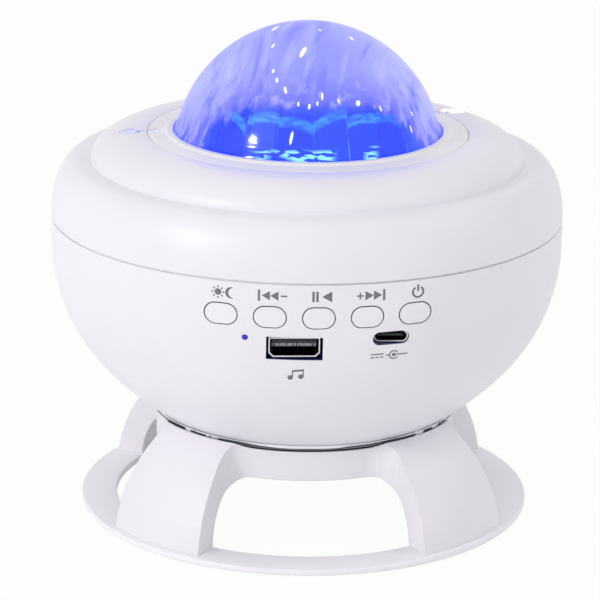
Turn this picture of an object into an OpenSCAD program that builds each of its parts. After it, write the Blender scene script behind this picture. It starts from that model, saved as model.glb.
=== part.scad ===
// Star night light projector: a ball-shaped head that sits in a four-legged ring stand.
// Millimetres, +Z up, origin on the table under the middle of the stand, front panel towards -Y.

/* [Stand] */
// Outer radius of the flat base ring
base_r = 61.9; // [60.5:0.5:66]
// Width of the base ring
base_w = 9.7; // [9:0.1:10.8]
// Thickness of the base ring
base_t = 1.8; // [1.6:0.1:3]
// Bevel round the outer edge of the base ring
base_bevel = 0.5; // [0.2:0.1:0.8]
// How far the foot pads stand below the base ring
pad_proud = 0.4; // [0.2:0.1:1]
// Depth of the recess that holds a foot pad
pad_recess = 0.6; // [0.3:0.1:1]
// Radius of a foot pad
pad_r = 3.5; // [2.5:0.1:4]
// Distance of the legs from the outer edge of the base ring
foot_inset = 1.7; // [1.3:0.1:3.2]
// Radius of the arc that the outside of a leg follows
leg_arc_r = 38; // [34:0.5:46]
// Angle that one leg spans
leg_angle = 30; // [26:1:34]
// Wall of the hollow legs
leg_wall = 2.2; // [1.8:0.1:2.6]
// Outer radius of the collar between the legs
collar_r = 41.1; // [40.8:0.1:42]
// Inner radius of the collar
collar_in_r = 36; // [34:0.5:37]
// Height of the stand windows above the base ring
window_h = 17; // [14:0.5:18]
// Radius of the upper corners of the windows
arch_r = 5; // [4:0.5:7]
// Radius of the hollow blend from leg to collar
collar_fillet = 8; // [6:0.5:10]

/* [Seat] */
// Height above the table at which the bowl touches the seat
seat_z = 29; // [27:0.5:32]
// Radius at which the bowl touches the seat
seat_r = 41.2; // [40.5:0.1:42]
// Thickness of the clear ring's flange
seat_t = 0.8; // [0.6:0.1:1.2]
// Outer radius of the clear ring's flange
seat_out_r = 42.4; // [42:0.1:43]
// Outer radius of the clear ring's sleeve
seat_sleeve_r = 39.4; // [38.6:0.1:39.8]
// Drop from the contact circle to the step under the clear ring
seat_step = 4.4; // [4:0.1:5.5]
// Running gap between the bowl and the clear ring
seat_gap = 0.25; // [0.2:0.05:0.35]

/* [Head] */
// Largest radius of the head
body_r = 69.4; // [68.6:0.1:70]
// How much larger the radius of the ball is that the bowl turns on
ball_extra = 6.4; // [5.8:0.1:7.2]
// Angle from straight down at which the ball surface ends
ball_angle = 50; // [48:0.5:52]
// Radius of the flat under the bowl
flat_r = 15; // [14.6:0.2:16]
// Wall of the shells
wall = 2.4; // [2:0.1:2.8]
// Drop from the ball centre to the seam between the shells
seam_drop = 10.4; // [9.8:0.1:11]
// Height of the shadow line at the seam
seam_line = 0.4; // [0.3:0.1:0.6]
// Depth of the shadow line at the seam
seam_depth = 0.7; // [0.4:0.1:1]
// Height of the lip that laps the two shells
lap_h = 3; // [2:0.5:4]
// Height of the ledge above the seam
ledge_h = 15.3; // [14:0.1:16]
// Width of the shoulder's round
shoulder_w = 6.9; // [6.2:0.1:7.8]
// Width of the ledge between the shoulder and the raised deck
ledge_w = 3.9; // [3.2:0.1:4.5]
// Width of the flat part of the deck, round the bezel
deck_flat_w = 2.6; // [2.3:0.1:4.6]
// Height of the deck above the ledge
deck_h = 7.1; // [6.8:0.1:7.6]

/* [Dome] */
// Outer radius of the dome
dome_r = 36.2; // [36:0.1:36.8]
// Wall of the dome
dome_wall = 2; // [1.8:0.1:2.2]
// Drop from the deck to the centre of the dome
dome_drop = 6.5; // [6.2:0.1:7]
// Height of the flared foot of the dome above the deck
foot_h = 3; // [2.4:0.1:3.6]
// Radius of the flared foot
foot_r = 36.3; // [36.3:0.1:36.8]
// Outer radius of the bezel
bezel_r = 43.3; // [43:0.1:43.6]
// Thickness of the bezel's outer edge
bezel_t = 1.4; // [1.3:0.1:1.8]
// Rise of the bezel towards the dome
bezel_rise = 0.8; // [0.5:0.1:1.2]
// Thickness of the dome's clamped flange
flange_t = 1.4; // [1.2:0.1:1.6]
// Thickness of the shelf that carries the dome
shelf_t = 1.6; // [1.4:0.1:1.8]
// Width of the shelf that carries the dome
shelf_w = 5.2; // [4.6:0.1:5.6]

/* [Star windows] */
// Distance of the star windows from the axis
star_r = 47.6; // [47.4:0.1:48]
// Radius of a star window
star_win_r = 3.3; // [3:0.1:3.4]
// Distance of the glow windows from the axis
glow_r = 40.6; // [40.4:0.1:40.7]
// Radius of a glow window
glow_win_r = 2.2; // [1.8:0.1:2.2]
// Thickness of the windows
window_t = 1.2; // [1:0.1:1.4]
// How far the windows lie below the surface
window_sink = 0.3; // [0.2:0.1:0.4]

/* [Lamp and drive] */
// Height of the lamp chassis above the seam
chassis_h = 3.8; // [3.4:0.1:4.2]
// Thickness of the chassis plate
chassis_t = 2; // [1.8:0.1:2.4]
// Width of the chassis plate outside the middle of its screws
chassis_edge = 4; // [3.5:0.1:6]
// Outer radius of the spigot that the wave cup turns on
spigot_r = 22; // [21.6:0.1:22.4]
// Wall of the spigot
spigot_wall = 2; // [1.8:0.1:2.2]
// Height of the spigot above the chassis plate
spigot_h = 9; // [8.6:0.1:9.4]
// Radial running clearance of everything that spins
spin_gap = 0.06; // [0.04:0.01:0.09]
// Gear module
gear_mod = 1; // [1:0.01:1.02]
// Teeth of the wave cup's gear
cup_teeth = 60; // [60:2:62]
// Teeth of the motor pinion
pinion_teeth = 12; // [12:1:13]
// Teeth of a grating disc
grating_teeth = 20; // [20:1:20]
// Height of the gears' underside above the chassis plate
gear_lift = 5; // [4.6:0.1:5.4]
// Width of the gears
gear_w = 2; // [1.8:0.1:2.2]
// Flat panes round the wave cup
cup_panes = 20; // [16:2:24]
// Wall of the wave cup
cup_wall = 1.4; // [1.2:0.1:1.6]
// Clearance between the wave cup and the dome
cup_gap = 0.9; // [0.8:0.1:1.2]
// Height of the cup's panes above the deck
pane_h = 12.9; // [12:0.1:13.4]
// Radius of the motor can
motor_r = 9.5; // [9:0.1:10]
// Length of the motor can
motor_len = 17; // [15:0.5:18]
// Radius of the motor shaft
shaft_r = 1; // [0.8:0.1:1.2]
// Radius of a laser barrel
laser_r = 3; // [2.8:0.1:3.2]
// Length of a laser barrel
laser_len = 13; // [12:0.5:14]
// Radius of the heat sink's body
sink_r = 16.8; // [16.4:0.1:17]
// Depth of the heat sink below its flange
sink_depth = 13; // [11:0.5:14]
// Cooling fins under the heat sink
fin_count = 7; // [5:1:8]
// Thickness of a fin
fin_t = 1.4; // [1.2:0.1:1.6]
// Thickness of the lamp board
led_board_t = 1.6; // [1.4:0.1:1.8]
// Width of a lamp chip
chip_w = 3.5; // [3:0.1:4]
// Height of a lamp chip
chip_h = 1.2; // [1:0.1:1.4]
// Distance of the lamp chips from the axis
chip_ring_r = 5; // [4.6:0.1:6]
// Height of the condenser lens above its rim
lens_bulge = 4.5; // [4:0.1:5]

/* [Front panel] */
// Distance between buttons
button_pitch = 12.3; // [12:0.1:12.6]
// Width of a button
button_w = 8; // [7.8:0.1:8.4]
// Height of a button
button_h = 5.4; // [5.2:0.1:5.8]
// Gap round a button
button_gap = 0.25; // [0.2:0.05:0.3]
// How far a button stands out of the bowl
button_proud = 0.05; // [0.01:0.01:0.08]
// Drop from the seam to the middle of the buttons
button_drop = 8.8; // [8.6:0.1:9]
// Travel of a button
button_travel = 0.5; // [0.4:0.1:0.6]
// Thickness of a button's retaining flange
button_flange_t = 0.8; // [0.6:0.1:0.9]
// How far the retaining flange reaches past the button
button_flange = 1.2; // [1:0.1:1.4]
// Radius of a button's stem
stem_r = 1.4; // [1.2:0.1:1.6]
// Sideways place of the USB-A socket
usb_x = -6; // [-6.4:0.1:-5.6]
// Drop from the seam to the middle of the USB-A socket
usb_drop = 17.3; // [17.2:0.1:17.5]
// Width of the USB-A steel shell
usb_w = 13.1; // [12.9:0.1:13.3]
// Height of the USB-A steel shell
usb_h = 5.2; // [5:0.1:5.3]
// Length of the USB-A steel shell
usb_len = 14; // [13:0.5:14.5]
// Gap round the USB-A steel shell
usb_gap = 0.6; // [0.4:0.1:0.7]
// Thickness of the sockets' steel
socket_steel = 0.35; // [0.3:0.05:0.4]
// Sideways place of the Type-C socket
typec_x = 18.5; // [18.3:0.1:18.7]
// Drop from the seam to the middle of the Type-C socket
typec_drop = 15; // [14.9:0.1:15.1]
// Width of the Type-C steel shell
typec_w = 8.94; // [8.8:0.01:9]
// Height of the Type-C steel shell
typec_h = 3.26; // [3.2:0.01:3.3]
// Length of the Type-C steel shell
typec_len = 7.3; // [7:0.1:7.6]
// Gap round the Type-C steel shell
typec_gap = 0.2; // [0.15:0.05:0.25]
// Sideways place of the indicator
indicator_x = -18.5; // [-18.8:0.1:-18.2]
// Drop from the seam to the indicator
indicator_drop = 14.7; // [14.5:0.1:14.9]
// Radius of the indicator's light pipe
pipe_r = 0.75; // [0.6:0.05:0.9]

/* [Boards] */
// Thickness of the circuit boards
board_t = 1.6; // [1.4:0.1:1.8]
// Gap between the main board and the inside of the bowl at its widest
board_gap = 3.8; // [3.4:0.1:4.2]
// Half width of the main board
board_half_w = 38; // [37:0.5:40]
// Depth of the main board from front to rear
board_depth = 34.7; // [34.2:0.1:35]
// Depth of the button board's front behind the widest part of the head
button_depth = 14; // [13.8:0.1:14.2]
// Width of a switch body
switch_w = 6; // [5.8:0.1:6.2]
// Depth of a switch body
switch_t = 3.5; // [3.4:0.1:3.6]
// Radius of a switch plunger
plunger_r = 1.7; // [1.6:0.1:1.8]
// How far a plunger stands out of its switch
plunger_out = 0.9; // [0.8:0.1:1]

/* [Speaker] */
// Side of the speaker's square frame
speaker_w = 38; // [37:0.5:38.5]
// Hole spacing of the speaker's frame
speaker_pitch = 31.6; // [31.2:0.1:31.8]
// Radius of the speaker's cone
cone_r = 16; // [15:0.5:16.5]
// Depth of the speaker's basket
basket_h = 9; // [8:0.5:10]
// Radius of the speaker's magnet
magnet_r = 12.5; // [12:0.5:13]
// Height of the speaker's magnet
magnet_h = 6; // [5:0.5:7]
// Height of the speaker above the inside of the bowl's flat
speaker_lift = 4.2; // [4:0.1:4.6]
// Radius of a grille hole
grille_hole_r = 1.2; // [1:0.05:1.3]
// Distance between rings of grille holes
grille_pitch = 4.5; // [4.2:0.1:4.6]
// Rings of grille holes round the middle one
grille_rings = 3; // [1:1:3]

/* [Screws] */
// Radius of the shell screws' shank
shell_screw_r = 1.4; // [1.3:0.05:1.5]
// Length of the shell screws' shank
shell_screw_len = 18; // [16:0.5:19]
// Radius of the small screws' shank
small_screw_r = 1; // [0.9:0.05:1.1]
// Length of the small screws' shank
small_screw_len = 5; // [4.5:0.5:5.5]
// Distance of the shell screws from the axis
post_ring_r = 33; // [32.5:0.1:33.5]
// Distance of the chassis screws from the inside of the deck's wall
post_edge = 4.2; // [4:0.1:4.6]

/* [Hidden] */
$fn = 96;

// small allowances shared by several pieces
eps = 0.01;
seat_clear = 0.25;
fit_gap = 0.1;
screw_gap = 0.06;
over = 5;

// stand
ring_top = pad_proud + base_t;
pad_t = pad_proud + pad_recess;
base_hole_r = base_r - base_w;
leg_foot_r = base_r - foot_inset;
foot_mid_r = (base_hole_r + leg_foot_r) / 2;
leg_rise = seat_z + 1.2 - ring_top;
inner_rise = window_h;
window_top = ring_top + window_h;
half_gap = 45 - leg_angle / 2;
hollow_top = seat_z - 5;
leg_run = leg_foot_r - collar_r;
leg_half = norm([leg_run, leg_rise]) / 2;
leg_back = sqrt(leg_arc_r * leg_arc_r - leg_half * leg_half) / (2 * leg_half);
leg_centre = [(leg_foot_r + collar_r) / 2 - leg_back * leg_rise,
              ring_top + leg_rise / 2 - leg_back * leg_run];
boss_r = 2.6;

// ball seat: the pivot is the middle of the ball that the bowl is part of
bowl_r = body_r + ball_extra;
pivot_z = seat_z + sqrt(bowl_r * bowl_r - seat_r * seat_r);
seat_floor = seat_z - seat_step;
under_flange_r = bowl_r + seat_gap + seat_t;
function ball_z(r, ball = bowl_r) = pivot_z - sqrt(ball * ball - r * r);

// outline of the bowl: ball, then a smaller round that ends upright
round_r = bowl_r - (bowl_r - body_r) / (1 - sin(ball_angle));
round_x = (bowl_r - round_r) * sin(ball_angle);
round_z = pivot_z - (bowl_r - round_r) * cos(ball_angle);
flat_z = ball_z(flat_r);
seam_z = pivot_z - seam_drop;
in_r = body_r - wall;
ball_steps = 20;
round_steps = 16;
lap_t = 1.2;

// upper shell
shoulder_z = seam_z + 0.8;
ledge_z = seam_z + ledge_h;
deck_z = ledge_z + deck_h;
arc_steps = 14;
hole_r = bezel_r + fit_gap;
shoulder_r = body_r - shoulder_w;
deck_wall_r = shoulder_r - ledge_w;
deck_round_r = hole_r + deck_flat_w;

// dome stack
dome_z = deck_z - dome_drop;
dome_in_r = dome_r - dome_wall;
flange_top = deck_z - bezel_t;
flange_z = flange_top - flange_t;
shelf_z = flange_z - shelf_t;
foot_z = deck_z + foot_h;
foot_top_r = sqrt(dome_r * dome_r - pow(foot_z - dome_z, 2));
lip_w = 2;

// star windows: direction of each pair, counted from +X
left_turn = 180;
right_turn = 30;
beam_r = 1;

// lamp and drive
chassis_z = seam_z + chassis_h;
plate_top = chassis_z + chassis_t;
chassis_ring_r = deck_wall_r - wall - post_edge;
chassis_r = chassis_ring_r + chassis_edge;
gear_z = plate_top + gear_lift;
gear_top = gear_z + gear_w;
addendum = 0.8 * gear_mod;
dedendum = 1.1 * gear_mod;
cup_pitch_r = gear_mod * cup_teeth / 2;
pinion_pitch_r = gear_mod * pinion_teeth / 2;
grating_pitch_r = gear_mod * grating_teeth / 2;
motor_x = cup_pitch_r + pinion_pitch_r;
grating_axis = cup_pitch_r + grating_pitch_r;
pin_r = 1.5;
spigot_in_r = spigot_r - spigot_wall;
lens_seat_z = plate_top + spigot_h - 2;
lens_rim_t = 1.5;
sink_flange_r = spigot_in_r - 0.3;
sink_flange_t = 1.5;
sink_core = 4;
lamp_board_r = sink_flange_r - 2;
lamp_board_z = plate_top + sink_flange_t;
belly_z = deck_z - 1.1;
belly_r = sqrt(dome_in_r * dome_in_r - pow(belly_z - dome_z, 2)) - cup_gap - 1.5;
pane_z = deck_z + pane_h;
pane_r = sqrt(dome_in_r * dome_in_r - pow(pane_z - dome_z, 2)) - cup_gap;
cup_low_r = cup_pitch_r - 2.6;
cup_cap_h = 4.5;
cap_r = (pow(pane_r * cos(180 / cup_panes), 2) + pow(cup_cap_h, 2)) / (2 * cup_cap_h);
laser_top = gear_z - 0.6;
shaft_z = chassis_z - 4;

// front panel
button_z = seam_z - button_drop;
usb_z = seam_z - usb_drop;
typec_z = seam_z - typec_drop;
indicator_z = seam_z - indicator_drop;
socket_sink = 0.7;
function face_y(x, z, inset = 0) = -sqrt(pow(outline_r(z) - inset, 2) - x * x);
function outline_r(z) = z >= round_z ? body_r : round_x + sqrt(round_r * round_r - pow(round_z - z, 2));
usb_front = face_y(usb_x + sign(usb_x) * usb_w / 2, usb_z) + socket_sink;
typec_front = face_y(typec_x + typec_w / 2, typec_z) + socket_sink;
button_board_y = body_r - button_depth;
plunger_tip = -button_board_y - switch_t - plunger_out;
plunger_rear = plunger_tip + plunger_out + 1.2;
stem_end = plunger_tip - 0.05;

// boards
board_top = usb_z - usb_h / 2;
board_z = board_top - board_t;
charge_top = typec_z - typec_h / 2;
charge_t = 1.2;
charge_w = 11;
charge_inset = 3.6;
charge_back = button_board_y - 5.4;
board_r = in_r - board_gap;
board_back_y = board_r - board_depth;
standoff_x = 33;
standoff_ys = [-board_r + 17.2, -board_back_y - 3.5];
standoff_r = 3;
button_board_low = usb_z + usb_h / 2 + 1;
button_board_high = button_z + 6;
button_board_half = 29.5;
leg_tab_w = 4.4;
// chips: left edge, front edge before the board's rear edge, width, depth, height
chips = [[-14, 15.5, 9, 9, 1.2], [4, 13.5, 6, 5, 1.1], [14, 14.5, 8, 6, 1.6]];
can_xs = [-26, -22, 26];
can_y = -board_back_y - 7.5;
can_r = 1.6;
can_h = 4.5;
lead_y = -board_back_y - 2.5;
indicator_tab = 3.6;

// speaker
speaker_z = flat_z + wall + speaker_lift;
speaker_plate = 1.2;
basket_top_r = magnet_r - 1;
cone_neck_r = 5;
cone_t = 0.5;

// posts
post_r = 4.8;
head_r = 2.7;
head_h = 1.9;
post_top = chassis_z - 20;
shell_head_z = post_top - 9;

// leads
lead_r = 0.8;
lead_bend = 2;
lamp_slot_x = -8.7;

// ---------------------------------------------------------------- shared shapes

module tube(r_out, r_in, z0, z1) {
    translate([0, 0, z0]) difference() {
        cylinder(r = r_out, h = z1 - z0);
        translate([0, 0, -over]) cylinder(r = r_in, h = z1 - z0 + 2 * over);
    }
}

module at_quarters(r, turn = 45) {
    for (i = [0:3]) rotate([0, 0, turn + 90 * i]) translate([r, 0, 0]) children();
}

module ball(r) {
    translate([0, 0, pivot_z]) sphere(r = r);
}

// pan head screw: head below z = 0, shank above it
module pan_screw(shank_r, shank_len, cap_rad = head_r, cap_h = head_h) {
    difference() {
        union() {
            cylinder(r = shank_r, h = shank_len);
            translate([0, 0, -cap_h]) cylinder(r1 = cap_rad - 0.5, r2 = cap_rad, h = 0.6);
            translate([0, 0, -cap_h + 0.6]) cylinder(r = cap_rad, h = cap_h - 0.6);
        }
        for (a = [0, 90]) rotate([0, 0, a])
            translate([-cap_rad * 0.55, -0.35, -cap_h - 1]) cube([cap_rad * 1.1, 0.7, 1.9]);
    }
}

// pill-shaped bar along Y, centred on (x, z)
module pill(w, h, x, z, y0, y1) {
    translate([x, y0, z]) rotate([-90, 0, 0]) {
        translate([-(w - h) / 2, -h / 2, 0]) cube([w - h, h, y1 - y0]);
        for (s = [-1, 1]) translate([s * (w - h) / 2, 0, 0]) cylinder(r = h / 2, h = y1 - y0);
    }
}

module rod_y(r, x, z, y0, y1) {
    translate([x, y0, z]) rotate([-90, 0, 0]) cylinder(r = r, h = y1 - y0);
}

// spur gear blank with straight-sided teeth
module gear(teeth, turn) {
    pitch_r = gear_mod * teeth / 2;
    root_r = pitch_r - dedendum;
    tip_r = pitch_r + addendum;
    step = 360 / teeth;
    rotate([0, 0, turn]) linear_extrude(gear_w) polygon([
        for (i = [0:teeth - 1], p = [[root_r, -0.3], [tip_r, -0.12], [tip_r, 0.12], [root_r, 0.3]])
            p[0] * [cos((i + p[1]) * step), sin((i + p[1]) * step)]
    ]);
}

// turn that puts a follower's tooth gap on the cup's tooth at angle a
function mesh_turn(a, teeth) = a + 180 + (a * cup_teeth / 360 - 0.5) * 360 / teeth;

// round lead from a to b: upright at both ends, level at height zm in between, z1 above z0
module lead(a, b, z0, zm, z1) {
    run = norm(b - a);
    translate([a[0], a[1], zm]) rotate([0, 0, atan2(b[1] - a[1], b[0] - a[0])]) {
        translate([0, 0, z0 - zm]) cylinder(r = lead_r, h = zm - z0 - lead_bend);
        translate([lead_bend, 0, -lead_bend]) rotate([90, 0, 0]) rotate([0, 0, 90]) lead_corner();
        translate([lead_bend, 0, 0]) rotate([0, 90, 0]) cylinder(r = lead_r, h = run - 2 * lead_bend);
        translate([run - lead_bend, 0, lead_bend]) rotate([90, 0, 0]) rotate([0, 0, -90]) lead_corner();
        translate([run, 0, lead_bend]) cylinder(r = lead_r, h = z1 - zm - lead_bend);
    }
}

module lead_corner() {
    rotate_extrude(angle = 90) translate([lead_bend, 0]) circle(r = lead_r);
}

// ---------------------------------------------------------------- stand

module base_ring() {
    color("white") difference() {
        rotate_extrude() polygon([
            [base_hole_r, pad_proud], [base_r - base_bevel, pad_proud],
            [base_r, pad_proud + base_bevel], [base_r, ring_top - base_bevel / 2],
            [base_r - base_bevel / 2, ring_top], [base_hole_r, ring_top]
        ]);
        at_quarters(foot_mid_r) translate([0, 0, pad_proud - eps]) {
            cylinder(r1 = head_r + screw_gap, r2 = shell_screw_r + screw_gap, h = 1.3);
            cylinder(r = shell_screw_r + screw_gap, h = base_t + 1);
        }
        at_quarters((base_r + base_hole_r) / 2, 0) translate([0, 0, pad_proud - 1])
            cylinder(r = pad_r + fit_gap, h = 1 + pad_recess);
    }
}

module foot_pads() {
    color("dimgray") at_quarters((base_r + base_hole_r) / 2, 0) {
        cylinder(r1 = pad_r - 0.3, r2 = pad_r, h = 0.3);
        translate([0, 0, 0.3]) cylinder(r = pad_r, h = pad_t - 0.3);
    }
}

module stand_screws() {
    color("silver") at_quarters(foot_mid_r) translate([0, 0, pad_proud]) difference() {
        union() {
            cylinder(r1 = head_r, r2 = shell_screw_r, h = 1.3);
            cylinder(r = shell_screw_r, h = base_t + 6);
        }
        for (a = [0, 90]) rotate([0, 0, a]) translate([-1.4, -0.3, -1]) cube([2.8, 0.6, 1.7]);
    }
}

// outside of a leg moved in by inset, from height z0 up to height z1
function leg_turn(z, inset) = asin((z - leg_centre[1]) / (leg_arc_r - inset));
function leg_arc(inset, z0, z1) = arc_points(leg_centre, leg_arc_r - inset, leg_turn(z0, inset),
                                             leg_turn(z1, inset), arc_steps);

// inside of a leg moved out by grow: a quarter ellipse from the ring up to the collar
function inner_arc(grow, first = 0) = [
    for (i = [first:arc_steps])
        [collar_in_r + (base_hole_r - collar_in_r + grow) * cos(90 * i / arc_steps),
         ring_top + (inner_rise + grow) * sin(90 * i / arc_steps)]
];

// leg cross-section, solid
module leg_section() {
    difference() {
        polygon(concat([[0, ring_top]], leg_arc(0, ring_top, ring_top + leg_rise),
                       [[0, ring_top + leg_rise]]));
        polygon(concat([[0, ring_top - 1], [base_hole_r, ring_top - 1]], inner_arc(0),
                       [[0, ring_top + inner_rise]]));
        square([collar_in_r, seat_z + over]);
    }
}

// the hollow inside a leg, open at the bottom
module leg_hollow() {
    span = leg_angle - 2 * atan(leg_wall / base_hole_r);
    rotate([0, 0, -span / 2]) rotate_extrude(angle = span) difference() {
        polygon(concat([[collar_r + leg_wall, ring_top - 1]],
                       leg_arc(leg_wall, ring_top - 1, hollow_top), [[collar_r + leg_wall, hollow_top]]));
        polygon(concat([[0, ring_top - 2], [base_hole_r + leg_wall, ring_top - 2]],
                       inner_arc(leg_wall, 1), [[0, ring_top + inner_rise + leg_wall]]));
    }
}

function arc_points(c, r, a0, a1, steps) = [
    for (i = [0:steps]) c + r * [cos(a0 + (a1 - a0) * i / steps), sin(a0 + (a1 - a0) * i / steps)]
];

// space outside the collar between two legs, with hollow blends into the legs
module window_plan() {
    reach = 2 * base_r;
    far = collar_r + collar_fillet;
    swing = asin(collar_fillet / far);
    side = 270 + half_gap;
    centre = far * [cos(side - swing), sin(side - swing)];
    half = concat(arc_points(centre, collar_fillet, side + 90, side - swing + 180, 8),
                  arc_points([0, 0], collar_r, side - swing, 270, 12));
    mirrored = [for (i = [len(half) - 2:-1:0]) [-half[i][0], half[i][1]]];
    edge = reach * [cos(side), sin(side)];
    polygon(concat([edge], half, mirrored, [[-edge[0], edge[1]]]));
}

// one side of the window: upright plane with a rounded upper corner
module window_side() {
    reach = 2 * base_r;
    low = ring_top - 1;
    rotate([0, 0, -half_gap]) rotate([90, 0, 0]) linear_extrude(reach) {
        translate([0, low]) square([reach, window_top - arch_r - low]);
        translate([arch_r, low]) square([reach - arch_r, window_top - low]);
        translate([arch_r, window_top - arch_r]) circle(r = arch_r);
    }
}

// the window right through the collar, round in its upper corners
module window_cut() {
    intersection() {
        window_side();
        mirror([1, 0, 0]) window_side();
    }
}

module stand_frame() {
    color("white") difference() {
        union() {
            difference() {
                rotate_extrude() leg_section();
                for (i = [0:3]) rotate([0, 0, 90 * i + 45]) leg_hollow();
            }
            intersection() {
                rotate_extrude() leg_section();
                at_quarters(foot_mid_r) translate([0, 0, ring_top]) cylinder(r = boss_r, h = window_h);
            }
        }
        for (i = [0:3]) rotate([0, 0, 90 * i]) {
            translate([0, 0, ring_top - 1]) linear_extrude(seat_z + over) window_plan();
            window_cut();
        }
        at_quarters(foot_mid_r) translate([0, 0, ring_top - 1])
            cylinder(r = shell_screw_r + screw_gap, h = 8);
        translate([0, 0, seat_floor]) cylinder(r = seat_sleeve_r + spin_gap, h = seat_step + over);
        ball(under_flange_r + seat_clear);
    }
}

module seat_ring() {
    color("aliceblue", 0.4) rotate_extrude($fn = 256) difference() {
        union() {
            translate([collar_in_r, seat_floor]) square([seat_sleeve_r - collar_in_r, seat_step + 2]);
            intersection() {
                translate([seat_sleeve_r - 1, seat_floor])
                    square([seat_out_r - seat_sleeve_r + 1, 2 * seat_step]);
                translate([0, pivot_z]) circle(r = under_flange_r, $fn = 720);
            }
        }
        translate([0, pivot_z]) circle(r = bowl_r + seat_gap, $fn = 720);
    }
}

// ---------------------------------------------------------------- shells

// half outline of the bowl, moved in by inset, up to height top
module bowl_section(inset, top) {
    start = acos((pivot_z - flat_z - inset) / (bowl_r - inset));
    polygon(concat(
        [[0, flat_z + inset]],
        arc_points([0, pivot_z], bowl_r - inset, start - 90, ball_angle - 90, ball_steps),
        arc_points([round_x, round_z], round_r - inset, ball_angle - 90, 0, round_steps),
        [[body_r - inset, top], [0, top]]
    ));
}

module button_places() {
    for (i = [-2:2]) translate([i * button_pitch, 0, 0]) children();
}

module grille() {
    translate([0, 0, flat_z - over]) {
        cylinder(r = grille_hole_r, h = 4 * over);
        for (k = [1:grille_rings], i = [1:6 * k]) rotate([0, 0, 60 * i / k])
            translate([grille_pitch * k, 0, 0]) cylinder(r = grille_hole_r, h = 4 * over);
    }
}

module lower_shell() {
    half = speaker_pitch / 2;
    color("white") difference() {
        union() {
            difference() {
                rotate_extrude() bowl_section(0, seam_z);
                rotate_extrude() bowl_section(wall, seam_z + over);
            }
            intersection() {
                rotate_extrude() bowl_section(0.8, seam_z);
                union() {
                    at_quarters(post_ring_r) cylinder(r = post_r, h = post_top);
                    for (x = [-standoff_x, standoff_x], y = standoff_ys)
                        translate([x, y, 0]) cylinder(r = standoff_r, h = board_z);
                    for (x = [-half, half], y = [-half, half])
                        translate([x, y, 0]) cylinder(r = boss_r, h = speaker_z);
                }
            }
        }
        tube(body_r + 1, body_r - seam_depth, seam_z - seam_line / 2, seam_z + 1);
        at_quarters(post_ring_r) {
            cylinder(r = head_r + 0.3, h = shell_head_z);
            cylinder(r = shell_screw_r + 0.2, h = post_top + 1);
        }
        for (x = [-standoff_x, standoff_x], y = standoff_ys)
            translate([x, y, board_z - small_screw_len]) cylinder(r = small_screw_r + screw_gap, h = 9);
        for (x = [-half, half], y = [-half, half])
            translate([x, y, flat_z + wall + 0.8]) cylinder(r = small_screw_r + screw_gap, h = 9);
        grille();
        button_places() pill(button_w + 2 * button_gap, button_h + 2 * button_gap, 0, button_z,
                             -body_r - over, -button_board_y + over);
        translate([usb_x - usb_w / 2 - usb_gap, -body_r - over, usb_z - usb_h / 2 - usb_gap])
            cube([usb_w + 2 * usb_gap, 3 * over, usb_h + 2 * usb_gap]);
        pill(typec_w + 2 * typec_gap, typec_h + 2 * typec_gap, typec_x, typec_z,
             -body_r - over, -button_board_y);
        rod_y(pipe_r + 0.05, indicator_x, indicator_z, -body_r - over, -button_board_y);
    }
}

function arc(cx, cz, a, b) = [
    for (i = [0:arc_steps]) [cx + a * cos(90 * i / arc_steps), cz + b * sin(90 * i / arc_steps)]
];

function backwards(list) = [for (i = [len(list) - 1:-1:0]) list[i]];

// outline of the upper shell: shoulder, ledge and raised deck
module cover_section() {
    a = body_r - shoulder_r;
    b = ledge_z - shoulder_z;
    deck_a = deck_wall_r - deck_round_r;
    polygon(concat(
        [[body_r, seam_z]], arc(shoulder_r, shoulder_z, a, b),
        arc(deck_round_r, ledge_z, deck_a, deck_h), [[hole_r, deck_z], [hole_r, deck_z - wall]],
        backwards(arc(deck_round_r, ledge_z, deck_a - wall, deck_h - wall)),
        [[deck_wall_r - wall, ledge_z - wall]],
        backwards(arc(shoulder_r, shoulder_z, a - wall, b - wall)), [[in_r, seam_z]]
    ));
}

module star_holes(r) {
    for (a = [left_turn, right_turn]) rotate([0, 0, a]) translate([star_r, 0, deck_z - 2 * over])
        cylinder(r = r, h = 3 * over);
}

module upper_shell() {
    shelf_out = hole_r + 2;
    color("white") difference() {
        union() {
            rotate_extrude() cover_section();
            tube(in_r - fit_gap, in_r - fit_gap - lap_t, seam_z - lap_h, seam_z + 1);
            tube(in_r, in_r - fit_gap - lap_t, seam_z, seam_z + 2);
            tube(shelf_out, hole_r, shelf_z, deck_z - wall + eps);
            tube(shelf_out, hole_r - shelf_w, shelf_z, flange_z);
            at_quarters(chassis_ring_r) translate([0, 0, plate_top])
                cylinder(r = 3, h = ledge_z + deck_h * 0.6 - plate_top);
        }
        tube(body_r + 1, body_r - seam_depth, seam_z - 1, seam_z + seam_line / 2);
        at_quarters(chassis_ring_r) translate([0, 0, plate_top - 1])
            cylinder(r = small_screw_r + screw_gap, h = small_screw_len + 1);
        star_holes(star_win_r + 0.05);
    }
}

module dome_bezel() {
    inner = foot_r + 0.15;
    color("white") difference() {
        rotate_extrude() polygon([
            [inner, flange_top], [bezel_r, flange_top], [bezel_r, deck_z - 0.2], [bezel_r - 0.2, deck_z],
            [inner + lip_w, deck_z + bezel_rise * 0.5], [inner + lip_w - 0.4, deck_z + bezel_rise],
            [inner + 0.2, deck_z + bezel_rise], [inner, deck_z + bezel_rise - 0.2]
        ]);
        for (a = [left_turn, right_turn]) rotate([0, 0, a]) translate([glow_r, 0, flange_top - 1])
            cylinder(r = glow_win_r + 0.05, h = 2 * over);
    }
}

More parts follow.
